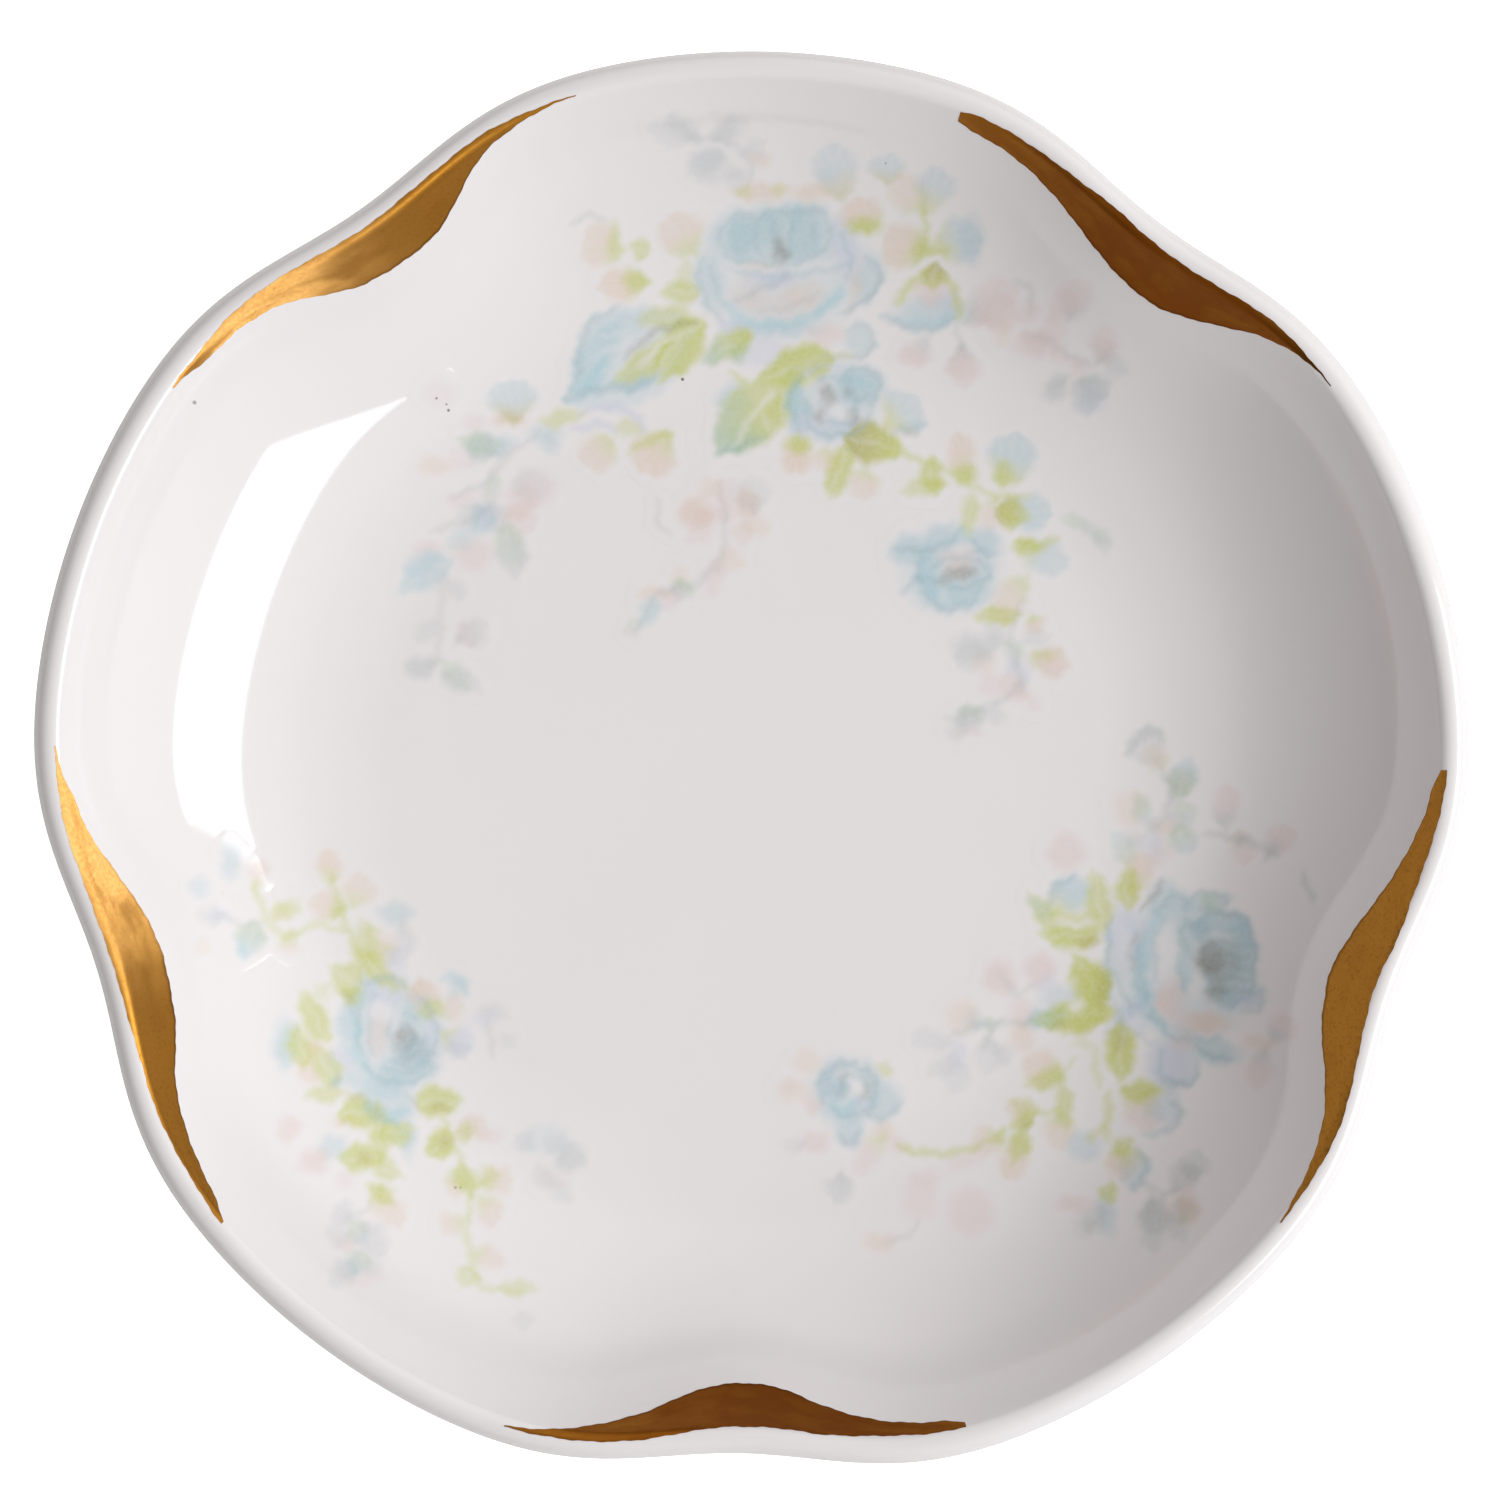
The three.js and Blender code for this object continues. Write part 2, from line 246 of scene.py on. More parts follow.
# Gilt strokes, knot by knot: degrees from the pinch, the brush's width and the inset of the outer edge
GILT_STROKES = {
    "front": (
        (-19.6, 0.05, 0.95), (-18, 0.22, 0.95), (-16, 0.4, 1.0), (-12, 0.95, 1.0), (-8, 1.5, 1.07),
        (-5, 2.0, 1.28), (-2, 2.2, 1.48), (1, 2.24, 1.52), (4, 2.08, 1.55), (7, 1.6, 1.45),
        (10, 1.07, 1.55), (13, 0.72, 1.6), (17, 0.56, 1.48), (18.6, 0.5, 1.46), (19.2, 0.1, 1.5),
    ),
    "right": (
        (-21.5, 0.05, 1.2), (-18.5, 0.3, 1.2), (-16, 0.5, 1.15), (-12, 1.0, 1.03), (-8, 1.7, 1.12),
        (-6, 2.12, 1.18), (-4, 2.3, 1.22), (0, 2.46, 1.3), (4, 2.3, 1.1), (6, 2.0, 1.15),
        (8, 1.56, 1.3), (12, 1.05, 1.35), (16, 0.7, 1.25), (18.4, 0.66, 1.15), (19, 0.15, 1.2),
    ),
    "back_right": (
        (-19.5, 0.04, 1.2), (-17.5, 0.12, 1.2), (-16, 0.3, 1.18), (-14, 0.7, 1.1), (-12, 1.15, 1.07),
        (-10, 1.72, 1.12), (-8, 2.1, 1.2), (-6, 2.44, 1.22), (-4, 2.62, 1.22), (0, 2.52, 1.1),
        (4, 2.28, 0.95), (8, 1.56, 1.22), (12, 1.1, 1.34), (16, 0.9, 1.33), (18.6, 0.86, 1.34),
        (19.3, 0.3, 1.5),
    ),
    "back_left": (
        (-20.5, 0.04, 1.15), (-18.5, 0.12, 1.15), (-16, 0.3, 1.12), (-12, 0.8, 0.96),
        (-10, 1.23, 0.98), (-8, 1.84, 1.0), (-6, 2.4, 0.98), (-4, 2.66, 0.96), (0, 2.58, 1.03),
        (4, 2.5, 1.0), (6, 2.18, 0.97), (8, 1.76, 0.97), (10, 1.24, 1.0), (14, 0.84, 1.12),
        (18, 0.56, 1.4), (20, 0.24, 1.38), (21.5, 0.05, 1.4),
    ),
    "left": (
        (-19, 0.05, 1.2), (-17, 0.2, 1.2), (-16, 0.47, 1.2), (-14, 0.88, 1.15), (-12, 1.05, 1.1),
        (-8, 1.76, 1.1), (-4, 2.42, 0.98), (0, 2.64, 0.96), (4, 2.5, 1.04), (6, 2.38, 1.14),
        (8, 2.1, 1.26), (10, 1.68, 1.3), (12, 1.36, 1.32), (16, 0.92, 1.42), (20, 0.62, 1.4),
        (22.4, 0.5, 1.25), (23.6, 0.08, 1.25),
    ),
}
GILT_ALONG = 360
GILT_ACROSS = 22
GILT_SMOOTHING = 0.9
GILT_SMOOTHING_STEPS = 9
# Waver of the outer edge: rise, pace per degree, and shift from one stroke to the next
GILT_WAVER = ((0.02, 2.1, 1), (0.012, 5.3, 2))


def smooth_through(at, knots, values):
    """Values between given knots, with the corners rounded off."""
    shifts = np.linspace(-GILT_SMOOTHING, GILT_SMOOTHING, GILT_SMOOTHING_STEPS)
    return np.mean([np.interp(at + shift, knots, values) for shift in shifts], axis=0)


def make_stroke(index, name, material):
    """A brush stroke of gold: its outer edge follows the lip and its inner edge swells towards the well."""
    knots, widths, insets = np.array(GILT_STROKES[name]).T
    bpy.ops.object.select_all(action="DESELECT")
    bpy.ops.mesh.primitive_grid_add(x_subdivisions=GILT_ALONG, y_subdivisions=GILT_ACROSS, size=1)
    stroke = new_object("gilding_" + name)
    points = read_points(stroke.data)
    offset = knots[0] + (knots[-1] - knots[0]) * (points[:, 0] + 0.5)
    across = points[:, 1] + 0.5
    angle = math.radians(-90 + 360 / LOBES * index) + np.radians(offset)
    waver = sum(rise * np.sin(offset * pace + shift * index) for rise, pace, shift in GILT_WAVER)
    edge = LOBE_RADIUS - pinch(angle) - smooth_through(offset, knots, insets) + waver
    reach = edge - smooth_through(offset, knots, widths) * across
    x, y = reach * np.cos(angle), reach * np.sin(angle)
    z = surface_height(x, y) + GILT_LIFT
    write_points(stroke.data, np.column_stack([x, y + AXIS_Y, z]) * MM)
    face_up(stroke)
    thicken(stroke, GILT_THICKNESS)
    place(stroke, "gilt_stroke_" + name, material)


def srgb(code):
    """Linear colour from an sRGB hex value."""
    channels = [int(code[i:i + 2], 16) / 255 for i in (1, 3, 5)]
    return (*[c / 12.92 if c <= 0.04045 else ((c + 0.055) / 1.055) ** 2.4 for c in channels], 1.0)


# Colours of the print on white porcelain
WHITE = srgb("#EDEAEB")
BLUE = srgb("#ACCBD4")
DEEP = srgb("#97B7C1")
AQUA = srgb("#A6D0DA")
MAUVE = srgb("#CDD2E2")
MIST = srgb("#BBC3C6")
GREY = srgb("#B0B8B8")
DUSK = srgb("#8E8B83")
GREEN = srgb("#C9CE72")
OLIVE = srgb("#BAB76C")
JADE = srgb("#A3C29B")
PINK = srgb("#E0C8C3")
PEACH = srgb("#E1C8B0")

# The sprays are drawn on a sheet of squared paper, 150 squares across, with x to the right and y down;
# its squares and the print's grid are in millimetres
SQUARE = 0.5486
SHEET_AXIS = (75.1, 77.05)
PRINT_TURN = math.radians(1.0)
PRINT_STEP = 0.14
PRINT_MARGIN = 5
PRINT_STRENGTH = 0.9
PRINT_FAINTEST = 0.012

# Softness of the marks and shape of their outlines, in squares or as shares of the mark
WAVER = 0.14
FINE_WAVER = 0.08
WASH_EDGE = 0.3
WASH_EDGE_SHARE = 0.16
WASH_EDGE_MOST = 1.4
LEAF_EDGE = 0.66
LEAF_BELLY = 0.85
LEAF_FULLNESS = 0.8
LEAF_RIB = 0.22
LEAF_RIB_WIDTH = 0.3
LEAF_SHADE_START = 0.25
LEAF_SHADE_LENGTH = 0.6
FAN_EDGE = 0.75
FAN_INSET = 0.1
FAN_SHOULDER = 0.58
FAN_FULLNESS = 0.9
FAN_RIBS = 13
FAN_RIB_DEPTH = 0.14
FAN_SHADE_START = 0.18
FAN_SHADE_LENGTH = 0.4
FAN_FOOT_STRENGTH = 1.1
FAN_FADE = 0.4
LINE_EDGE = 0.52
LINE_TIP = 0.3
LINE_FULLNESS = 0.6
LINE_STEPS = 14

# Layers of each spray from the lowest up. A wash is an oval: centre, width, height, strength and any turn.
# A leaf is pointed and a fan opens out: foot, tip, width and strength, shaded from one colour to the other.
# A line is a brush stroke: width, strength and the points that it passes.
BACK_SPRAY = [
    ("wash", BLUE, [
        (78.4, 27, 17.5, 13, .3), (83.2, 40.2, 9.5, 8.4, .3), (95, 57, 10, 8.6, .3),
        (77.7, 23.7, 11.2, 5.4, .4), (73.5, 23.6, 4.6, 5.2, .26, 10), (74.3, 23.8, 2.2, 4.2, .5),
        (76.7, 22.8, 2.6, 3.4, .46), (78.6, 22.2, 2.6, 3, .36), (80.7, 22.4, 3.4, 3.6, .5),
        (80.4, 25, 4.2, 1.8, .46), (80.3, 20.9, 4, 1.4, .3), (71, 28.4, 2.6, 6, .36, 8),
        (87, 28, 2.6, 4.8, .44, -20), (86, 34, 3, 3.2, .4), (75, 32.9, 5, 1.6, .34),
        (79, 33, 5, 1.7, .4), (59.6, 35.8, 4, 8, .5, -18), (62.4, 32.4, 5.4, 3, .34, 25),
        (63.6, 38.4, 4, 1.8, .46, 15), (97.2, 24, 2.6, 5, .36), (93.2, 31.2, 7, 2.8, .5),
        (79.9, 40, 2.8, 6.4, .62), (86, 38.8, 4.6, 4, .66, 10), (73.4, 40, 3.4, 3.2, .44, 20),
        (83.6, 43.2, 5.4, 1.8, .34), (91, 55, 4, 3, .56), (94.6, 53.8, 4, 2.8, .48),
        (98.4, 54.3, 3.8, 2.8, .56, -15), (92.9, 57, 2.8, 4.6, .58), (95.2, 59.6, 6.2, 3, .64),
        (98.2, 57.6, 2.6, 4.2, .36), (54.6, 43.4, 3.6, 1.8, .36), (55, 44.5, 1.8, 2.2, .36)]),
    ("wash", PINK, [
        (74.6, 29.4, 3.6, 3.4, .28), (78.4, 30.6, 7, 2.8, .3), (82.6, 33.6, 3.6, 2.2, .4),
        (96, 55.8, 3.8, 2.2, .46), (93.2, 29.2, 3, 3, .5), (103.6, 34.6, 4.4, 2.6, .4),
        (44, 39.4, 3.4, 3, .2), (47.4, 42.3, 2.4, 1.4, .26), (47.4, 55.5, 3.6, 3.2, .36),
        (46, 49.9, 3.2, 1.5, .28, 10), (71.2, 51.6, 2.4, 2, .3), (71.9, 56.8, 1.8, 2.2, .4),
        (66.6, 59.3, 2, 1.2, .34), (97, 73.2, 2.2, 1.1, .36), (53.6, 49, 4, 3.6, .28),
        (42.8, 54.9, 3.2, 1.4, .32), (91.6, 35.7, 2.8, 1.6, .36)]),
    ("wash", PEACH, [
        (80.4, 29.4, 4.2, 2.4, .3), (76, 19.3, 4.8, 1.9, .46), (81.2, 19.3, 4, 1.7, .46),
        (76, 16, 2, 1.5, .34), (100.2, 33.4, 2, 2.6, .26), (51, 42, 3, 1.4, .5),
        (69.6, 51.3, 3, 3.4, .46), (71, 48.9, 2.4, 2.2, .26), (74.8, 50.3, 2, 3, .46),
        (65, 59.3, 2.2, 1.2, .32), (98.4, 66.4, 2.2, 2.6, .28), (43.4, 46.7, 3, 2, .34),
        (51.6, 51.5, 2.2, 1.3, .3), (85.6, 28.6, 1.1, 4, .36, -10), (76, 26.7, 3.6, .9, .36)]),
    ("wash", MAUVE, [
        (84.6, 25, 2.6, 6.4, .55, 8), (77, 28.1, 3.6, 1.6, .5), (76.4, 35.2, 5.4, 3.6, .46),
        (73.6, 33, 3.2, 1.6, .5, -15), (83, 42.9, 5.4, 2.2, .5), (80.2, 42.4, 2.2, 2, .5),
        (95.2, 30.4, 2, 2.8, .5), (78.2, 27.8, 3.4, 1.8, .4), (102, 67, 2.6, 2.2, .4),
        (48.7, 51.8, 2.4, 2.8, .5), (109.2, 40.2, 3, 2.4, .4), (82.6, 17.6, 2.4, 1.8, .3)]),
    ("fan", GREEN, PEACH, [
        (62.6, 25.2, 58.2, 24, 4.8, .5), (65, 28.2, 60, 28.8, 3.6, .62),
        (69.6, 25.8, 67, 21.6, 4.8, .5), (87, 23.6, 85.6, 19.8, 4.2, .62),
        (93, 25.4, 88.2, 24.2, 4.8, .62), (80, 43.4, 79.5, 47.6, 3.2, .7),
        (82.8, 44.6, 82.6, 47.4, 2.8, .44), (86.8, 46.6, 86.1, 50.2, 3.2, .46),
        (96.7, 48.2, 95.8, 43.4, 3, .58), (103, 61.4, 104, 63.4, 2.2, .6),
        (102.8, 65.6, 107, 66.9, 3.2, .44), (61.6, 43.8, 58.4, 46.6, 4, .5),
        (67, 43.2, 64.2, 47.4, 4.6, .62), (92.6, 21.6, 89.6, 17.8, 4, .4),
        (99.6, 49.4, 98.8, 53.2, 2.4, .44), (102.8, 57.4, 99.6, 62.2, 3.6, .44)]),
    ("fan", GREEN, BLUE, [
        (93.2, 25, 98, 23.4, 5, .52), (92.4, 21.6, 94.4, 16.8, 4, .44), (100.2, 49, 102, 43.4, 5, .58),
        (88.6, 42.8, 91.8, 40, 5.2, .5), (99.8, 51, 105.2, 51.6, 4, .58),
        (101.4, 54.4, 106.8, 56.8, 3.6, .5)]),
    ("fan", OLIVE, BLUE, [
        (51.4, 42.6, 51.2, 38, 5, .5), (84.4, 20.4, 83, 14.4, 4.6, .4),
        (88.7, 18.6, 88.7, 15.4, 3.8, .42)]),
    ("fan", GREY, PINK, [
        (96, 34.4, 96.8, 38.8, 3.4, .46), (96.4, 32.4, 101.6, 28.6, 4.4, .4),
        (107, 32.4, 108, 27.8, 3.4, .36), (102, 68, 101.6, 70.4, 2.2, .42),
        (93.2, 33.8, 90.2, 36.6, 2.8, .38), (109.8, 36.4, 110.9, 32.6, 3, .34)]),
    ("fan", PINK, PINK, [
        (98.2, 32.6, 101.4, 30.2, 4.4, .4), (95.8, 34.8, 96.4, 38, 3, .36),
        (104.6, 32.4, 107.6, 29.4, 3, .4), (102, 33.4, 104.8, 34.4, 2.4, .4),
        (105, 35, 107, 35.8, 2.2, .36), (109.4, 35.8, 111.4, 34.6, 3, .4),
        (72.4, 50.4, 72, 47.8, 3, .34), (73.6, 51, 76, 50, 3, .38), (71.4, 51.8, 68, 51.4, 3.2, .4),
        (73, 53.4, 75.4, 53.4, 2.6, .34), (103.6, 65.6, 106.4, 66.8, 3.2, .44),
        (101.6, 67.4, 101, 70, 2.8, .36), (50.6, 50.6, 53.4, 52.8, 4, .34),
        (46.2, 62, 47.4, 64.6, 2.8, .34), (47.6, 46.8, 45, 45.4, 2.6, .26),
        (50.5, 49.5, 54, 50.6, 3.2, .3), (71.8, 52.4, 73.8, 49.8, 2.6, .34),
        (71.6, 53, 68.6, 54, 2.2, .32), (70.6, 57.4, 71.6, 60, 2, .3), (68.2, 58.8, 66, 61, 2, .32),
        (101, 67.6, 98, 69.4, 2.2, .34), (102, 69, 104, 71, 1.8, .3),
        (101.4, 32.2, 104, 30.6, 2.4, .36), (99, 33, 97, 31, 2, .3), (104, 34, 106.6, 32.6, 2.2, .34),
        (107, 35.6, 108.6, 37.8, 2, .34)]),
    ("fan", PEACH, PEACH, [
        (73.8, 52.8, 77, 52.6, 2.4, .34), (72, 55, 74.4, 56.8, 2.2, .36),
        (69, 58.6, 67.4, 56.8, 1.8, .3)]),
    ("fan", AQUA, BLUE, [
        (51.9, 44.2, 46.6, 45.1, 2.6, .36), (44.4, 55.2, 40.4, 57.6, 3, .3),
        (47.4, 52.8, 45, 55, 2.4, .32)]),
    ("fan", MIST, MIST, [
        (49.4, 50.4, 50.2, 53.4, 2.4, .36), (50.8, 53.4, 52.4, 56.8, 2.4, .3),
        (44.4, 57.6, 46.4, 60, 2, .34), (43.8, 62, 41.6, 64.2, 2, .32),
        (101, 64.4, 98.4, 62.6, 2.2, .34), (102.2, 64.4, 105, 63.6, 2, .3),
        (99.8, 70.2, 99.6, 72.8, 2, .34), (96.8, 71.8, 95, 74, 2, .34),
        (70.4, 14, 66.6, 11.6, 2.4, .3), (71.6, 14.2, 73.6, 11.8, 2.4, .28),
        (74.4, 15.6, 76.6, 14.2, 2.2, .28), (72.8, 15.8, 69, 16.2, 2.4, .26),
        (75, 17.6, 72.6, 18.8, 2.2, .26), (110.4, 36, 112.8, 37.4, 2.2, .34),
        (99.4, 65, 95.4, 66, 3.2, .4), (99, 71.2, 95.6, 72.4, 2.6, .34),
        (108, 38, 110.8, 39.8, 3.6, .44), (107, 37.6, 104.8, 39.4, 2.6, .4),
        (44, 67.4, 46.8, 68.8, 2.6, .36), (43.6, 66.4, 40.4, 67, 2.2, .34),
        (50, 45.6, 46.6, 44.6, 2.8, .4), (48.6, 50.4, 46.2, 52.6, 2.8, .38),
        (72.6, 15, 69, 17.4, 3, .3)]),
    ("fan", GREY, MIST, [
        (70.2, 14.2, 64.8, 12.6, 3, .28), (71, 14.2, 75, 11.8, 2.8, .24),
        (74.6, 17.2, 68.4, 16.8, 3.6, .24), (100.8, 64.6, 94.6, 64.6, 2.8, .3),
        (106.6, 38, 104.4, 40.2, 2.4, .34), (107.4, 38, 110, 41, 4.2, .38),
        (45.6, 64.4, 48.8, 62.4, 3.2, .3), (44, 66, 40.6, 67.8, 2.4, .32),
        (75.4, 51.6, 75, 47.6, 4, .24), (51, 48.4, 55, 48.6, 3.6, .2)]),
    ("leaf", BLUE, AQUA, [
        (69, 32, 56.6, 40.5, 9, .3), (65.6, 59.8, 64.2, 62.8, 2, .5),
        (45.2, 55.8, 39.8, 59.2, 3.2, .46), (48.9, 50.6, 47.8, 53.8, 2.4, .4)]),
    ("leaf", GREEN, GREEN, [
        (70.2, 31.8, 65.8, 38.2, 4.2, .86), (67.6, 34.2, 61.6, 38.4, 2.8, .74),
        (69.6, 31.6, 63.6, 32, 2.4, .6), (83.4, 35.4, 75.8, 38.2, 4.2, .92),
        (78.8, 37.6, 78, 43.4, 1.8, .6), (84.8, 44.6, 83, 50, 2.6, .84),
        (93, 45.8, 93.4, 49.4, 2.2, .74), (94.4, 48.4, 90.2, 49.2, 1.8, .6),
        (97.2, 49.4, 96.8, 53.6, 1.7, .66), (70, 29.2, 66.2, 29.4, 2.4, .7),
        (65, 25.2, 63, 24.8, 2.4, .6), (102, 61.6, 97.6, 61.6, 1.8, .84),
        (68.6, 29, 68.4, 25.8, 1.7, .4), (54, 42.3, 58.6, 41.4, 1.6, .6),
        (61.4, 42.6, 64.8, 43.2, 1.6, .5)]),
    ("leaf", GREEN, JADE, [
        (77.8, 38.8, 71.6, 45.5, 6, .7), (75.2, 33.2, 70.2, 36.4, 2.6, .76),
        (74.6, 33, 73.7, 36.4, 1.8, .7), (77.6, 41, 72.4, 45, 3, .5)]),
    ("leaf", OLIVE, GREEN, [
        (84.4, 43.6, 90.4, 45.2, 4.2, .95), (99.6, 51, 103, 51.8, 3, .7),
        (93.8, 26.4, 93.2, 29, 2.6, .9)]),
    ("leaf", JADE, MIST, [
        (46, 44, 51.4, 45.2, 2.4, .46), (50.4, 52.4, 51.8, 58, 3.2, .36), (97, 70.4, 97, 73, 2.8, .4),
        (68.9, 58.2, 67.4, 60, 2.2, .44), (106.4, 51.6, 111, 54.2, 1.3, .4),
        (110, 52.8, 110.6, 55.4, 1.6, .34), (44, 66.2, 48.2, 69.4, 2, .34),
        (49.4, 47.4, 49, 51, 1.8, .34), (101.6, 64, 101.2, 67, 1.8, .34), (63, 62, 63.8, 64, 1.8, .26)]),
    ("line", AQUA, [
        (1.2, .46, 72.6, 30.4, 73.6, 31.7, 75.6, 32.4, 78, 32.6, 80.6, 32, 82.7, 30.8, 84.2, 29.2),
        (1, .4, 81.4, 31.4, 83, 30.2, 84.3, 28.6), (1.6, .5, 57.8, 39.4, 59.4, 38, 60.4, 36),
        (1.4, .4, 92.4, 56, 92.8, 58.4, 94, 59.6), (1.4, .4, 79.6, 38.6, 79.5, 41.4),
        (1.3, .4, 89.6, 32, 93, 32.4, 95.2, 31.6), (1, .4, 84.6, 38, 87, 38.6)]),
    ("line", DEEP, [
        (.5, .36, 72, 24, 72.8, 22.2, 74.6, 21.4, 76.2, 21.9, 77.8, 21.1, 79.6, 21.5, 81.2, 20.9, 82.7,
         21.8, 83.1, 23.4),
        (.5, .36, 72, 24.6, 73, 25.8, 75.4, 26.3, 78.4, 26.5, 80.8, 26, 82.6, 24.8, 83, 23.2),
        (.45, .4, 77.2, 22.4, 77.4, 24, 77.9, 25.2), (.45, .4, 79.2, 22.4, 79.1, 24, 78.8, 25.2),
        (.45, .34, 78.1, 22.6, 78.2, 24.6), (.4, .3, 75.6, 22.2, 75.6, 24.4, 76.4, 25.6),
        (.4, .3, 81.6, 22.4, 81.3, 24.4), (.4, .28, 73.4, 22.8, 73.2, 24.4, 73.9, 25.4),
        (.45, .36, 73, 27, 75, 27.4, 78, 27.7, 82, 27.1, 85, 26.6),
        (.45, .46, 86.4, 25.8, 88, 27, 87.7, 28.7, 86.5, 30.2, 84.7, 31.3),
        (.45, .4, 70.2, 25.8, 69.9, 28.2, 70.8, 30.6, 72.4, 32.4),
        (.4, .36, 84.2, 23.4, 85, 25.6, 84.9, 28),
        (.4, .36, 84.6, 33, 86, 32.6, 87.4, 33.6, 87, 35.2, 85.4, 35.6),
        (.4, .3, 71.2, 26.4, 71.6, 28.8, 72.6, 30.4),
        (.8, .46, 62, 30.8, 59.6, 32, 58.2, 34, 57.8, 37.4, 56.6, 40.3),
        (.9, .46, 56.7, 40.2, 60, 39, 64, 38.6, 66, 37.2),
        (.8, .5, 88, 31.6, 90.4, 32.6, 93, 33, 95.3, 32),
        (.5, .46, 80, 43, 79, 40.4, 79.8, 38, 81.6, 37),
        (.5, .46, 84.4, 37.6, 86.4, 36.8, 88, 38.4, 87.2, 40.6),
        (.4, .46, 81, 38.8, 83, 37.7, 85.2, 38.2),
        (.4, .5, 80.4, 41.4, 81.4, 43, 83.6, 43.6, 86, 43, 87, 41.4),
        (.4, .46, 83, 42.2, 84.6, 42.6, 85.8, 41.6, 85.6, 40.4),
        (.4, .46, 81.4, 42, 80.8, 40.4, 81.6, 39), (.4, .4, 84.6, 39.2, 86, 40.2, 86.8, 39.4),
        (.5, .5, 89.2, 54.8, 91.4, 55.1, 94, 54.8, 96.4, 53),
        (.5, .46, 97.2, 54.2, 98.6, 55.2, 99.6, 55.6), (.4, .46, 93.4, 56.8, 95.4, 55.8, 97.8, 56.2),
        (.4, .46, 98, 56.2, 99, 57.6, 97.8, 59.4), (.4, .4, 92, 55.8, 91.8, 57.4, 92.6, 59),
        (.5, .46, 95, 59, 97, 58.6, 98.8, 57.8), (.5, .46, 93.6, 57.8, 91.8, 58.1, 90.2, 59.4),
        (.5, .4, 92, 59.4, 94.8, 61, 97.6, 60), (.7, .4, 71.7, 45.3, 73.6, 44.8, 76.4, 43.8),
        (.7, .34, 89.4, 43.4, 91, 42.8, 92.6, 42.4)]),
    ("line", GREEN, [
        (1, .6, 92.9, 26.8, 91, 28.8, 89.6, 30.4), (1, .6, 94.4, 27.4, 95.8, 29.8, 95.8, 32),
        (.8, .6, 92.6, 21, 92.6, 24, 92.9, 25.3, 94.8, 25),
        (.8, .56, 88.2, 44.6, 90.6, 45.6, 93, 46.4, 95.4, 47.4),
        (.7, .5, 95.4, 47.4, 97.6, 48.8, 100, 49.7, 103, 49.6),
        (.8, .56, 73, 37.4, 74.6, 38.3, 76.6, 38.4), (.8, .6, 101.8, 54.3, 103.8, 54.5, 105.8, 54),
        (.7, .4, 82, 36, 85, 35.6), (.8, .5, 62.8, 45.4, 64.6, 44.2, 67.2, 43.2)]),
    ("line", MAUVE, [
        (.9, .6, 58, 41.3, 61, 40.7, 63.4, 41.6, 64.6, 43), (.9, .6, 57.4, 43, 60, 42.5, 61.6, 43),
        (.8, .4, 80.6, 37.2, 82.8, 36.6, 84.8, 37.2)]),
    ("line", GREY, [
        (.6, .3, 54, 43.4, 52, 44.8, 50, 46.6, 48.4, 48.4, 45, 49.8),
        (.6, .3, 49, 50.6, 47.4, 51.8, 45, 52.6, 43, 53.2),
        (.9, .22, 44.2, 57.6, 44.1, 62, 43.8, 66.2),
        (.7, .3, 72, 48.4, 72.6, 52, 72, 56, 69.6, 58.4, 66, 59.5, 63.6, 63.2),
        (.7, .3, 102.4, 60, 101.2, 63, 101.6, 66, 102.2, 68.4, 99.6, 70.3, 96, 71.6, 94.4, 71.8),
        (.6, .3, 69, 13.8, 73, 14.4, 75, 16.4, 75, 18.6), (.6, .28, 95.6, 32.4, 96.2, 35),
        (.6, .26, 102.4, 33, 106.5, 35.2, 109, 36.6, 111, 35.4),
        (.6, .34, 101.6, 28, 103.2, 29.4, 103, 31.4),
        (.45, .5, 73.6, 30.3, 75.4, 29.3, 77.4, 28.5, 79, 27.8),
        (.4, .3, 76, 31.2, 79, 30.8, 82, 29.4), (.4, .3, 84.2, 31.4, 86.8, 29.9, 88.4, 27.4),
        (.4, .36, 82.4, 35.6, 86, 35.8, 87.4, 34.4), (.5, .34, 65.8, 50, 65.9, 52.4, 67, 53.6),
        (.9, .4, 78, 24, 78.6, 26), (.9, .3, 81.8, 42.2, 82, 40.6, 83, 39),
        (.8, .4, 90.2, 43.4, 91.6, 43.2), (.6, .34, 57.2, 22.4, 59, 21.6, 60.6, 22)]),
    ("line", DUSK, [(.5, .46, 69.4, 32.3, 67, 32.8, 65, 33.6, 62.4, 35.8)]),
    ("wash", DUSK, [
        (78.1, 25.6, 1.7, 1.4, .5), (78, 24.5, .9, 1.5, .4), (82.9, 39.6, 1.5, 2.4, .46, 15),
        (84.7, 39.2, 1.1, 1.1, .3), (82.1, 41.6, 1.3, 1.3, .36), (96.2, 57.3, 2.6, 1.4, .6),
        (94.6, 58, 1.8, 1.1, .4, 20), (85.3, 41.7, 1.3, 1.6, .4)]),
    ("wash", GREEN, [
        (86.6, 22.7, 3.4, 1.7, .7), (96.5, 47.6, 2.4, 1.8, .7), (100.5, 47.4, 1.9, 2.4, .6),
        (102.8, 54.8, 2.6, 1.6, .7), (100.9, 51.5, 1.8, 2.6, .5), (63.6, 28.2, 2.4, 2, .6),
        (79.8, 44.5, 2.4, 1.8, .6), (93.5, 48.5, 2, 1.2, .6), (92.3, 25, 2, 1.8, .5),
        (61.4, 24, 1.1, 3.2, .4), (104.8, 65.5, 2.4, 1, .4), (68, 37.2, 1.8, 1, .3),
        (74.5, 19.2, 1.4, 1.2, .4), (77.8, 19, 1.4, 1.1, .4)]),
    ("wash", WHITE, [
        (78.4, 23, 1.1, 1.8, .16), (84.1, 41.2, 1.8, 1.5, .5), (81, 38.7, 1.3, 3, .55, 10),
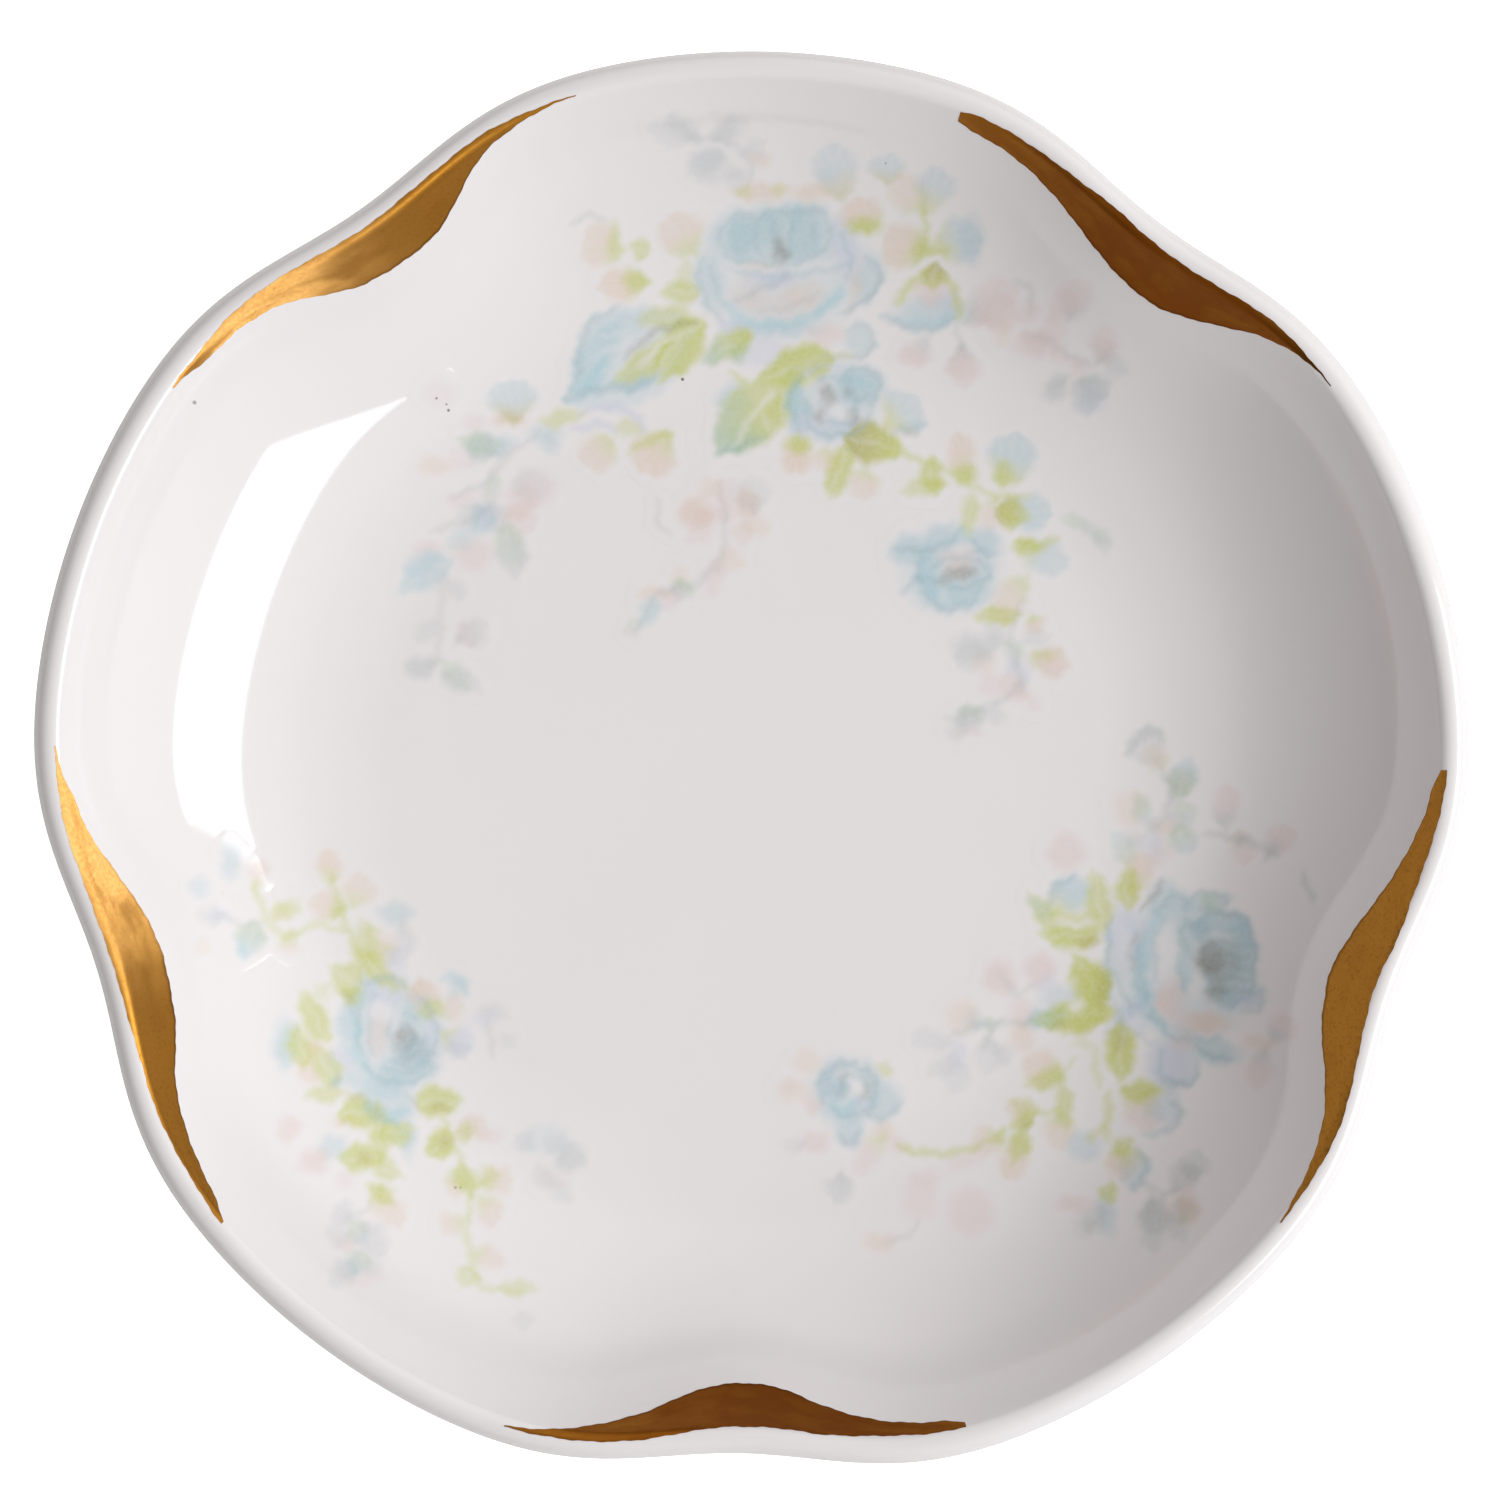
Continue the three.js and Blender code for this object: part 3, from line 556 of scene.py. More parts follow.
        (73.3, 27.8, 1.6, 3.4, .3, 8), (96, 54.9, 2, .8, .5)]),
    ("line", WHITE, [
        (.5, .4, 73.6, 26.6, 76, 27, 77.6, 27), (.45, .36, 79.4, 26.9, 83.6, 26.2),
        (.5, .6, 69, 33.2, 66.4, 34.2, 64.2, 36.2), (.45, .5, 68, 34, 66.6, 36, 65.6, 38),
        (.45, .46, 66, 34.8, 64.2, 37), (.5, .6, 77.2, 39.4, 75.2, 42, 73.2, 44.8),
        (.4, .4, 63, 33.2, 60, 33.8), (.4, .4, 62.6, 34.4, 59.6, 35.8), (.4, .4, 62, 35.6, 60, 37.6),
        (.6, .4, 93.8, 58.8, 95, 60.4), (.5, .4, 76.4, 41.4, 76.8, 43)]),
]
RIGHT_SPRAY = [
    ("wash", BLUE, [
        (118.4, 97, 14.5, 14.5, .3), (84.5, 109, 6.6, 6.6, .34), (116.2, 90, 2.8, 3.8, .5, -15),
        (118.2, 91, 2.4, 3.8, .42, -10), (122, 92.4, 5, 2.2, .46), (124.2, 95.4, 2.4, 6, .5),
        (122.6, 97, 4.6, 6.4, .5), (120.4, 93.4, 3.4, 3.4, .4), (120.2, 90.4, 3.6, 1.6, .36),
        (124.4, 99.8, 4, 2, .5, 10), (121.6, 105.2, 4.6, 2.6, .56, -10),
        (107.2, 89.4, 4, 3.4, .42, 15), (117.4, 106.2, 4.8, 5, .3, -20),
        (113.2, 101.6, 3, 6.4, .36, -35), (112.4, 94.4, 3, 7, .26, 8), (88.4, 110, 3.4, 3.8, .5, -15),
        (85, 112.8, 3, 3.6, .5), (83, 109.4, 1.8, 5.4, .36), (108.4, 114.7, 3.2, 3.2, .42),
        (110.7, 121.6, 1.9, 4, .46, 8), (106, 99.8, 4, 2, .36, 15), (103.8, 102, 2.8, 2, .46, 10)]),
    ("wash", PINK, [
        (117, 99.8, 2.8, 4.4, .46, -25), (119.8, 102.2, 5, 2.2, .46, -8), (106.6, 85.2, 3.8, 3.8, .44),
        (100, 97.8, 3.2, 3.6, .5), (104, 97, 3, 3.2, .5), (102.1, 101.3, 2.2, 2.8, .36),
        (97, 121.2, 4.8, 4.6, .36, -30), (92, 119.9, 3.6, 4.2, .28), (96.4, 116.2, 3.6, 1.6, .26, 20),
        (81.3, 110.7, 1.7, 1.7, .4), (81.6, 114.3, 2.8, 2.2, .44), (78.9, 108.6, 2.4, 1.6, .26),
        (118, 104.4, 2.2, 1.4, .36), (118.7, 119.9, 2.2, 2.8, .34), (107.4, 120.4, 3.8, 1.6, .42),
        (92.6, 117.8, 2.8, 1.8, .26)]),
    ("wash", PEACH, [
        (120.8, 102.3, 3.8, 2, .36), (88, 124.3, 3.2, 2, .34), (80.8, 106.2, 2.8, 2.6, .28),
        (79.6, 109.3, 3.4, 2.2, .28), (96.2, 101.7, 3.4, 3.2, .3), (102.3, 103.6, 2.2, 3.6, .4),
        (113, 80.9, 3.4, 3.6, .3), (118.4, 121.2, 3.4, 3, .26), (116.2, 82.8, 2.6, 1.6, .42),
        (124, 83.9, 2, 1.2, .34), (88.4, 113.2, 2, 1.7, .36), (126, 104.3, 2.8, 1.6, .34),
        (116.2, 100, 2, 2, .3), (86.6, 109.2, 1.5, 1.8, .36)]),
    ("wash", MAUVE, [
        (113, 93.8, 4, 6, .5, 10), (113.3, 101.6, 2.8, 6, .6, -40), (117, 106.4, 4.6, 4.4, .6),
        (124.8, 99.9, 3.4, 1.8, .5), (86.4, 110.6, 2.2, 1.6, .5), (82.9, 108.2, 1.3, 3.4, .5),
        (104.7, 98.5, 2.4, 1.8, .36), (95.9, 105.6, 1.8, 2.6, .46), (115.5, 84.6, 1.9, 3.4, .4)]),
    ("fan", GREEN, PEACH, [
        (113.2, 89.8, 114.6, 85.2, 3, .6), (106.6, 108.2, 102.4, 106, 3.8, .56),
        (103.6, 112.4, 100.8, 110.4, 2.8, .5), (100.4, 113.4, 97.2, 114.8, 3.2, .5),
        (102.4, 113.4, 100.8, 118, 3.2, .6), (111.8, 114.2, 112.4, 118.2, 3, .6),
        (106.4, 111, 105.6, 115, 3.2, .5)]),
    ("fan", GREEN, PINK, [
        (112.4, 108.6, 115.6, 112.8, 4, .5), (88.6, 113.2, 85.6, 117.4, 2.8, .36),
        (91.4, 115.4, 88.8, 114, 2, .36)]),
    ("fan", GREEN, BLUE, [
        (113, 114.4, 113.8, 119, 3.4, .44), (114, 109, 118, 111.6, 4, .46),
        (105.6, 91.4, 108.2, 88, 4, .34)]),
    ("fan", GREY, PINK, [
        (122.4, 83, 122.8, 78.6, 3, .44), (124.2, 83.6, 124.6, 86.6, 2.6, .42),
        (126.6, 86, 129.2, 82.6, 2.8, .48), (126.6, 104.6, 125.4, 109, 2.6, .42),
        (127, 104.2, 129.4, 101.6, 3, .38), (117.2, 80.6, 118.6, 76.8, 2.6, .34)]),
    ("fan", GREY, MIST, [
        (115.8, 76.6, 113.6, 73, 4, .34), (99, 103.4, 98.8, 107.6, 3.2, .26),
        (96, 106, 95.6, 109.4, 3, .26), (95.4, 104.6, 91.2, 103.6, 2.6, .28),
        (118.6, 118, 120.2, 115.2, 3, .46), (115, 119.4, 115.4, 125.2, 3, .42),
        (109.8, 122.2, 107.2, 123.2, 2.6, .28), (84.4, 117.2, 83.6, 120.4, 3, .42),
        (80.6, 114.4, 78.2, 114.8, 1.9, .26)]),
    ("fan", GREY, GREY, [
        (116.4, 119.6, 115, 123.4, 3.2, .42), (117, 119.2, 119.6, 116.4, 3, .4),
        (117.2, 120.2, 119.8, 121.8, 2.4, .34), (116.8, 121, 118.4, 124, 2.4, .34),
        (110.4, 120.6, 108.6, 123.2, 2.6, .34), (116.8, 79, 119.4, 77.4, 2.4, .34),
        (116.6, 81.4, 118.6, 83, 2, .3), (114.6, 83.4, 112.6, 84.8, 2.2, .3),
        (95.6, 105.4, 93, 107.8, 2.2, .28), (99.4, 104, 101, 106.4, 2, .26),
        (97.6, 103.2, 97, 100.8, 2, .24)]),
    ("fan", OLIVE, PEACH, [(116.6, 77.2, 114.8, 74.8, 2.6, .36), (117.8, 121.8, 120, 121, 3, .24)]),
    ("leaf", GREEN, GREEN, [
        (110.2, 93.6, 104, 93.6, 2.8, .92), (110.4, 93.4, 109.4, 87, 2.6, .7),
        (105.8, 93.2, 103, 89.4, 2.2, .66), (112.8, 91, 112.8, 86.6, 2.4, .8),
        (110.6, 100.6, 107.4, 95.6, 4, .92), (111, 99.6, 108, 97.4, 3.2, .7),
        (111.6, 101.2, 103.2, 102.2, 3.2, .9), (110.8, 100.4, 106.4, 103.6, 2.4, .7),
        (112.2, 102.2, 112, 108.4, 3.2, .95), (106.8, 107.4, 102.4, 108.6, 2, .74),
        (106.4, 108.4, 106.6, 113, 1.8, .74), (103.8, 111.4, 101, 110, 1.5, .6),
        (103.4, 111.6, 101, 113, 1.9, .76), (102.6, 113, 101.4, 116.4, 2, .72),
        (112.2, 109.4, 116, 108.8, 2.1, .84), (111.2, 114.8, 113.4, 114.4, 1.7, .7),
        (111, 118.2, 110.8, 120.4, 1.9, .74), (100.8, 113.6, 99.4, 113.6, 1.5, .7),
        (88.2, 107.6, 88.8, 106.2, 1.4, .5), (109.2, 104, 107.4, 104.6, 1.3, .36)]),
    ("leaf", JADE, BLUE, [
        (117.6, 79.8, 119.2, 75.8, 3, .46), (117.8, 82.6, 119, 85.6, 2.8, .42),
        (113.6, 79.6, 115.2, 83, 1.7, .4), (118, 80, 119.2, 82.8, 2, .34),
        (113.4, 86.4, 111.2, 83.2, 2, .34), (105, 92, 103, 89.6, 1.6, .4),
        (106.8, 101.6, 102.6, 102.2, 2, .5), (120, 90.6, 123.4, 89.8, 2.2, .4),
        (99.8, 102.2, 97.6, 102.8, 1.3, .4)]),
    ("leaf", PINK, PINK, [(116.2, 83.8, 116.2, 87, 2, .26), (119.4, 103.2, 117.4, 105, 1.8, .3)]),
    ("line", AQUA, [
        (1.6, .56, 115.8, 91.6, 114.6, 94.6, 114.2, 97.6, 114.8, 100.8, 116.4, 103),
        (1.3, .4, 118.4, 94.6, 118.5, 99), (1.3, .46, 83.2, 110.4, 84.4, 111, 85.8, 110.4),
        (1.1, .36, 122.6, 92.4, 124.4, 93, 125, 95)]),
    ("line", DEEP, [
        (.5, .5, 113.4, 100.4, 115.2, 102, 117, 103.5, 119.6, 104.1, 122, 103.9),
        (.6, .5, 119.4, 104.8, 121, 105.4, 123, 106.2),
        (.5, .46, 111, 92.4, 110.8, 95.6, 112, 98.6, 113.4, 101.6),
        (.5, .46, 115.6, 91.4, 117.4, 89.6, 118.6, 90),
        (.5, .5, 119, 92.6, 121.4, 91.4, 124.2, 92, 125.4, 95, 125.2, 98.4),
        (.4, .46, 118.4, 91, 119.6, 89.6, 121.8, 89.4, 122.8, 90.4),
        (.4, .46, 118.2, 93, 117.8, 96, 118.4, 99), (.4, .4, 116.4, 91.6, 115.6, 94.6, 115.8, 98),
        (.4, .46, 116, 105, 116.2, 107.2, 117.6, 108.4, 119.4, 108.2, 119.8, 106.4),
        (.4, .4, 119.4, 94, 121.6, 93.2, 124, 93.8),
        (.4, .4, 124.4, 99, 126.2, 99.4, 126, 100.8, 124.2, 101.4),
        (.4, .36, 114.4, 92.6, 114, 96, 114.6, 99.6),
        (.8, .46, 82.2, 110.6, 82.2, 108, 83.4, 106.6, 85.6, 106.2),
        (.8, .4, 86.6, 111.4, 88.6, 111.9, 90, 110.4), (.8, .4, 83.8, 113.6, 85, 114.3, 86.2, 113.4),
        (.8, .4, 117.4, 110.2, 118, 111.6, 116.6, 113.2, 114.4, 113.4),
        (.8, .4, 113.8, 115, 114.7, 117, 113.2, 119), (.9, .34, 116, 108, 118, 108.6, 119.6, 107.4),
        (.7, .4, 105, 90.4, 105.8, 88.6, 107.6, 87.8), (.8, .4, 118.6, 92, 118.4, 94, 119.4, 96)]),
    ("line", GREEN, [
        (.8, .56, 99.6, 114, 97.5, 114.8, 95.5, 115.3, 93, 115.4, 91, 115, 89.8, 114.6),
        (1.1, .5, 111, 109.2, 110.8, 111.4, 110.7, 114.2), (.8, .46, 110.6, 112.8, 108.8, 114),
        (.7, .5, 103.4, 111.6, 105.8, 111), (.9, .4, 109.4, 104.6, 109.7, 107, 109.9, 108.8),
        (.9, .6, 105.2, 91.3, 107.2, 91.8, 109.6, 91.6), (.5, .4, 106.4, 107, 107.4, 106)]),
    ("line", GREY, [
        (.8, .3, 116, 77, 117, 79, 116.8, 81, 115.2, 83.2),
        (.9, .34, 120.4, 83.5, 123, 83.7, 124.6, 84, 126.4, 84.8, 127.8, 85.6),
        (.8, .34, 103.4, 102.3, 100.6, 102.4, 98, 102.6, 95, 103.8),
        (.7, .34, 114.4, 118.4, 116, 119.3, 118, 119),
        (.5, .46, 130.4, 87.2, 130.8, 88.8, 131.4, 90.2),
        (.6, .26, 88.6, 124.2, 90.6, 123.7, 91.8, 122.2),
        (.45, .6, 120.4, 94.7, 122.4, 94.2, 124.6, 94.7),
        (.45, .6, 120.8, 95.8, 122.6, 95.5, 124.8, 95.8), (.45, .6, 121, 96.9, 122.8, 96.6, 125, 96.9),
        (.45, .6, 121.2, 98, 123, 97.8, 124.8, 98), (.45, .56, 121.4, 99.1, 123, 99, 124.4, 99.3),
        (1.2, .4, 112.8, 75.6, 113.6, 74, 115.4, 73.2, 116.6, 74),
        (.6, .3, 100, 97, 101.6, 99.4, 103.4, 98.6), (.7, .3, 99, 103, 98.6, 105)]),
    ("line", DEEP, [
        (.6, .4, 82.8, 109.6, 83.2, 107.6, 85, 106.6, 87, 107.4, 87.7, 109.2, 86.8, 111, 84.8, 111.6,
         83.2, 110.8), (.45, .36, 84, 109.6, 84.4, 108, 86, 107.8, 86.8, 109, 86, 110.2),
        (.6, .36, 111.2, 91.8, 110.8, 97, 112.1, 102, 115.3, 104.4),
        (.5, .34, 114, 94.2, 113.7, 98.2, 116, 102, 119.9, 103.7),
        (.5, .34, 119.9, 91, 123.9, 91.6, 125.5, 94.2, 125.2, 98.8, 123.2, 100.8),
        (.4, .34, 120.6, 95.2, 120.9, 98.2, 123.2, 99.5),
        (.4, .34, 121.9, 93.6, 123.9, 92.9, 124.8, 94.9)]),
    ("wash", WHITE, [(85.6, 108.9, 1.4, 1.3, .5)]),
    ("line", DUSK, [
        (.6, .46, 113.6, 93.4, 113.1, 95, 113.2, 97), (.6, .46, 116.2, 88.2, 115.2, 89.8, 114.2, 91)]),
    ("wash", DUSK, [
        (121, 96, 2.4, 3.6, .58, 8), (120.4, 96.8, 1.6, 1.8, .36), (121.6, 99.2, 1.5, 2.4, .5, -35),
        (84.6, 107.8, 1.2, 1.3, .2), (122.6, 96.6, 2.6, 4, .26)]),
    ("wash", DEEP, [
        (84.1, 109, 1.7, 1.9, .5), (119.9, 92.8, 2, 1.8, .36), (122.6, 100, 2.2, 1.6, .34),
        (86.9, 108, 1.6, 3.6, .26)]),
    ("wash", OLIVE, [
        (109, 94.2, 1.9, 1.1, .6), (110.2, 98.8, 1.3, 3.6, .5), (112, 104, 1.5, 2.2, .5),
        (106, 102.4, 1.3, 1, .4), (102.7, 112.4, 1.3, 1.2, .4)]),
    ("wash", WHITE, [
        (116.8, 95.4, 2.1, 5.2, .66), (112.6, 94.8, 1.5, 4, .46, 8), (121.8, 93.5, 2.2, .9, .5),
        (119.8, 98.6, 1.3, 2, .66), (107.4, 92.5, 2.4, .8, .76), (107.8, 100.6, 1.6, 1.2, .8),
        (85.5, 108.5, 1.2, 1.4, .66), (113.8, 102.2, 1.1, 3.4, .46, -40), (107.4, 98.2, 1, .8, .5)]),
]
LEFT_SPRAY = [
    ("wash", BLUE, [
        (39.2, 104, 10.5, 12, .32), (35, 102.4, 2.6, 4.2, .42), (36.6, 99, 1.9, 3.4, .4),
        (41.4, 101.6, 2.8, 4.4, .4), (40.6, 107, 5.4, 2.8, .5), (38.4, 109.8, 5.4, 4.4, .54),
        (39.6, 111.6, 4, 2, .4), (34.6, 107.9, 3, 1.8, .36), (28.4, 104.4, 2.4, 5, .34),
        (39.6, 91.4, 3.4, 2.2, .42), (23.2, 86.2, 2, 3.4, .38), (20, 88.7, 2, 2.2, .3),
        (33.4, 114.8, 3, 2.4, .42), (54.6, 114, 4.4, 3.2, .2), (41, 114, 1.4, 3.8, .34),
        (45.8, 98.8, 1.6, 2.6, .34, -35)]),
    ("wash", PINK, [
        (37.9, 103.4, 2.2, 4.4, .4), (31.4, 116.3, 3.2, 2.4, .34), (34.6, 118, 2, 1.8, .24),
        (28.8, 113, 2.2, 2.6, .26), (34.6, 124.4, 2.8, 1.5, .34), (36.8, 127.8, 3, 1.9, .2),
        (55.4, 118, 3, 2, .18), (26, 86.8, 2, 1.4, .34), (49, 113.6, 2.6, 1.6, .24)]),
    ("wash", PEACH, [
        (38.8, 94.8, 2, 3, .32), (31, 107.2, 2.2, 3, .4), (31.3, 104.8, 1.7, 1.7, .5),
        (34.8, 112.2, 2.6, 1, .4), (20.4, 94.8, 1.6, 1.6, .2), (29.2, 95, 1.7, 1.2, .26),
        (42, 98.9, 2.2, 1.7, .36), (28.4, 91.6, 1.9, .8, .26)]),
    ("wash", MAUVE, [
        (38.8, 99, 4.2, 3, .46), (34, 106, 2.8, 2.2, .5), (43, 103.4, 2, 3.4, .4),
        (45.6, 104.4, 3, 2.6, .4), (39.8, 96.2, 2, 2.8, .34), (48.4, 102, 2.6, 1.6, .28),
        (25.4, 93.8, 1.9, 1.2, .3), (22, 91.7, 2, 1.5, .3)]),
    ("fan", GREEN, PEACH, [
        (33, 88.8, 33, 84.8, 2.6, .56), (34.2, 91.6, 31.2, 89.8, 3.2, .5),
        (35, 90.8, 36.8, 87.6, 3.6, .4), (43.4, 101.8, 41.8, 98.2, 3.4, .46),
        (43.4, 101.4, 46.6, 100.4, 2.6, .42), (46.2, 113.4, 49, 112.4, 2.8, .42),
        (46.8, 118.2, 44.6, 119.2, 2.2, .44), (48, 118.4, 51.4, 117.8, 3, .46),
        (48, 119.4, 49.8, 122.6, 2.8, .46), (46.6, 121.8, 44, 123, 2.6, .44),
        (47.2, 125.2, 50.4, 126.2, 2.6, .44), (36.8, 118.6, 40.4, 122.6, 3, .46),
        (25.6, 89.4, 26, 86.2, 2, .34)]),
    ("fan", GREEN, MAUVE, [(44, 103.4, 47.4, 104.6, 3.4, .44)]),
    ("fan", MIST, MIST, [
        (53.4, 115, 51.6, 113.4, 2.4, .3), (54.6, 115.4, 56.4, 113.6, 2.2, .28),
        (55.4, 116.6, 58.6, 115.4, 2.6, .32), (53.8, 116.4, 54.8, 119, 2.2, .28),
        (55, 118.2, 57.2, 120.2, 2.2, .28), (35.4, 123.4, 32.6, 123.6, 2.4, .32),
        (35.8, 125.6, 34.2, 128, 2.4, .3), (36.4, 126, 38.2, 127.4, 2, .3),
        (45, 104.2, 46.4, 105.8, 2.2, .32), (39.4, 94.4, 39.2, 97, 2.2, .32),
        (50, 103.6, 51.6, 104.8, 1.8, .26)]),
    ("fan", GREEN, GREEN, [
        (47.4, 118.6, 50, 117.2, 2.4, .46), (46.6, 119, 44.8, 117.2, 1.8, .4),
        (30.2, 91.4, 29, 89.8, 1.6, .4), (38, 118.4, 39.2, 120.4, 2, .4),
        (33, 98.4, 31.6, 99.8, 2, .36), (36.6, 92.8, 38, 94.2, 1.8, .36)]),
    ("fan", PINK, PINK, [
        (33, 115, 30.4, 116.6, 2.6, .3), (30.6, 112.6, 27.6, 113.2, 2.6, .26),
        (45.6, 112, 47.8, 113.4, 2.4, .36)]),
    ("fan", GREY, MIST, [
        (47.6, 101, 51.2, 101.6, 2, .26), (36, 122, 38.4, 125.6, 3.2, .4),
        (35.4, 122.4, 33.4, 120.4, 2.4, .38), (35.8, 126.4, 33, 128.4, 2.8, .34),
        (56, 114.6, 58.4, 116.6, 3.4, .22), (22.4, 92.2, 19.8, 91, 2.4, .24),
        (52, 131, 52.6, 133, 2.4, .24), (40.2, 92, 41, 95.8, 1.9, .36)]),
    ("leaf", JADE, BLUE, [
        (35.4, 98.6, 35.6, 102, 1.7, .56), (35, 122.4, 36.8, 124.4, 2, .36),
        (36.6, 125.4, 35, 127.2, 2.6, .36), (26, 92.4, 24, 95.8, 3, .46),
        (39, 114, 41.6, 113.6, 2.2, .4), (29.6, 102.2, 28.2, 107, 2, .34)]),
    ("leaf", GREEN, GREEN, [
        (36.4, 98.8, 33, 96.8, 3.4, .62), (35.8, 99.6, 33.8, 99.6, 2.2, .4),
        (35.8, 95, 39.4, 98.8, 2.2, .8), (38.8, 98.4, 41, 98.8, 1.6, .4),
        (36.8, 96.4, 36.2, 91.8, 2.2, .54), (36.4, 95.4, 39, 94.8, 1.6, .5),
        (32.8, 104.4, 30.2, 99.2, 2.6, .74), (30.6, 107, 29.6, 102.6, 2.4, .74),
        (33.8, 108.6, 31.6, 104.8, 2.6, .64), (34.4, 109.2, 30.6, 109.6, 1.7, .66),
        (37.4, 111, 33.8, 111.6, 3.4, .8), (37.8, 110.2, 38.2, 116.4, 2, .74),
        (37.8, 113.6, 41.6, 113, 2.4, .7), (41.4, 110.2, 46.4, 110.2, 3.2, .8),
        (45.4, 113.4, 42.8, 115.6, 3, .86), (45.4, 113.6, 47.6, 113, 1.9, .5),
        (34, 116, 38.6, 115.6, 2.8, .8), (37.2, 116.2, 40.2, 117.8, 2, .6),
        (37, 118.6, 39.4, 120.4, 1.7, .66), (46, 116.4, 47.4, 120, 2.2, .66),
        (28.8, 92.2, 27.4, 90.4, 2, .4), (30, 93.4, 28, 94.4, 1.6, .46), (27.4, 91, 29.8, 91, 1.5, .4),
        (47.4, 126.8, 46, 128.8, 2, .5), (50, 128.8, 53.8, 128.9, 1.5, .5),
        (33.6, 92, 34.2, 90.2, 1.5, .5), (42, 101.4, 44.6, 100.6, 2, .4)]),
    ("line", AQUA, [
        (1.2, .46, 35.8, 102.4, 35.9, 105.8, 37, 107.4), (1, .36, 24, 94.4, 24.4, 95.8),
        (1, .4, 44.4, 97.8, 45.8, 98, 46.8, 99.6), (1.2, .34, 37, 110.6, 38.8, 111.8, 40.8, 111)]),
    ("line", DEEP, [
        (.6, .5, 36.4, 106.6, 38, 107.8, 40, 108.4, 42.4, 107.8),
        (.5, .46, 39.4, 106.2, 41.4, 106.8, 43.4, 105.4),
        (.45, .44, 36.6, 98.6, 38.4, 97.8, 40.6, 98.6), (.45, .44, 39.6, 100.4, 39, 102.6, 39.4, 105),
        (.45, .44, 42, 99.8, 43.4, 101.8, 43.8, 104.6),
        (.4, .46, 40.2, 101.6, 41.6, 101.8, 42.4, 103.4, 42, 105.2, 40.4, 105.6),
        (.4, .46, 41, 102.8, 41.6, 104, 40.8, 104.8), (.4, .4, 36.2, 101, 35.8, 103.6, 36.6, 106),
        (.4, .36, 37.4, 99.6, 36.9, 102.4, 37.2, 105.4), (.4, .4, 38.4, 106.8, 40, 107.4, 41.6, 107.2),
        (.6, .34, 36.6, 110, 37.6, 111.8, 40, 112.4)]),
    ("line", GREEN, [
        (.8, .46, 36, 97, 35.3, 94.5, 34.6, 92.4, 34, 90, 33.2, 88),
        (.7, .44, 34.6, 93.3, 32.5, 92.6, 30.5, 92.9, 28.9, 94),
        (.8, .4, 28.8, 94, 27.2, 92.6, 26, 90, 25.5, 88),
        (.8, .44, 45.8, 115, 46.5, 116.8, 46.9, 118.4, 47.2, 119.6),
        (.7, .42, 47.2, 119.6, 46.9, 121.6, 46.8, 124, 47.5, 127, 48.6, 128.8, 52, 129.2),
        (.8, .44, 44.2, 111.8, 45, 113.4)]),
    ("line", GREY, [
        (.6, .4, 39.1, 105.2, 40.8, 106.1, 43.4, 105), (.7, .26, 48.8, 102.2, 49.1, 104, 49.4, 105.8),
        (.6, .26, 35, 121.8, 36, 121.4, 37.2, 120.6), (.6, .26, 26.6, 92.3, 24, 92.4, 22, 91.4),
        (.6, .34, 40.9, 109.6, 41.6, 110.8)]),
    ("wash", DUSK, [(40.6, 104, 2.2, 2.8, .42), (40.2, 103.6, .9, 1, .3)]),
    ("wash", DEEP, [(41.6, 105, 4, 2.4, .5), (42.8, 106.8, 1.7, 1.7, .3), (33.7, 108.4, 1.1, 1.1, .4)]),
    ("wash", OLIVE, [
        (34.9, 99.8, 1.1, 1.3, .5), (44, 110.8, 2, 1.2, .5), (36.4, 115.9, 1.5, 1.2, .5),
        (44.7, 114.3, 1.6, 1.2, .5), (35.4, 109.6, 1.9, .8, .4), (37.8, 111.4, .9, 1.5, .4)]),
    ("wash", WHITE, [
        (38.4, 101.2, 2.8, 2.2, .55), (39.4, 110.4, 1.7, 1, .3), (42.2, 102.8, 1, 1.6, .4)]),
]
# Left, top, width and height of the sheet that each spray needs, and its layers
SPRAYS = {
    "back": ((37.5, 10, 76, 66.5), BACK_SPRAY),
    "right": ((76, 71, 57, 57), RIGHT_SPRAY),
    "left": ((18, 83, 43, 52), LEFT_SPRAY),
}


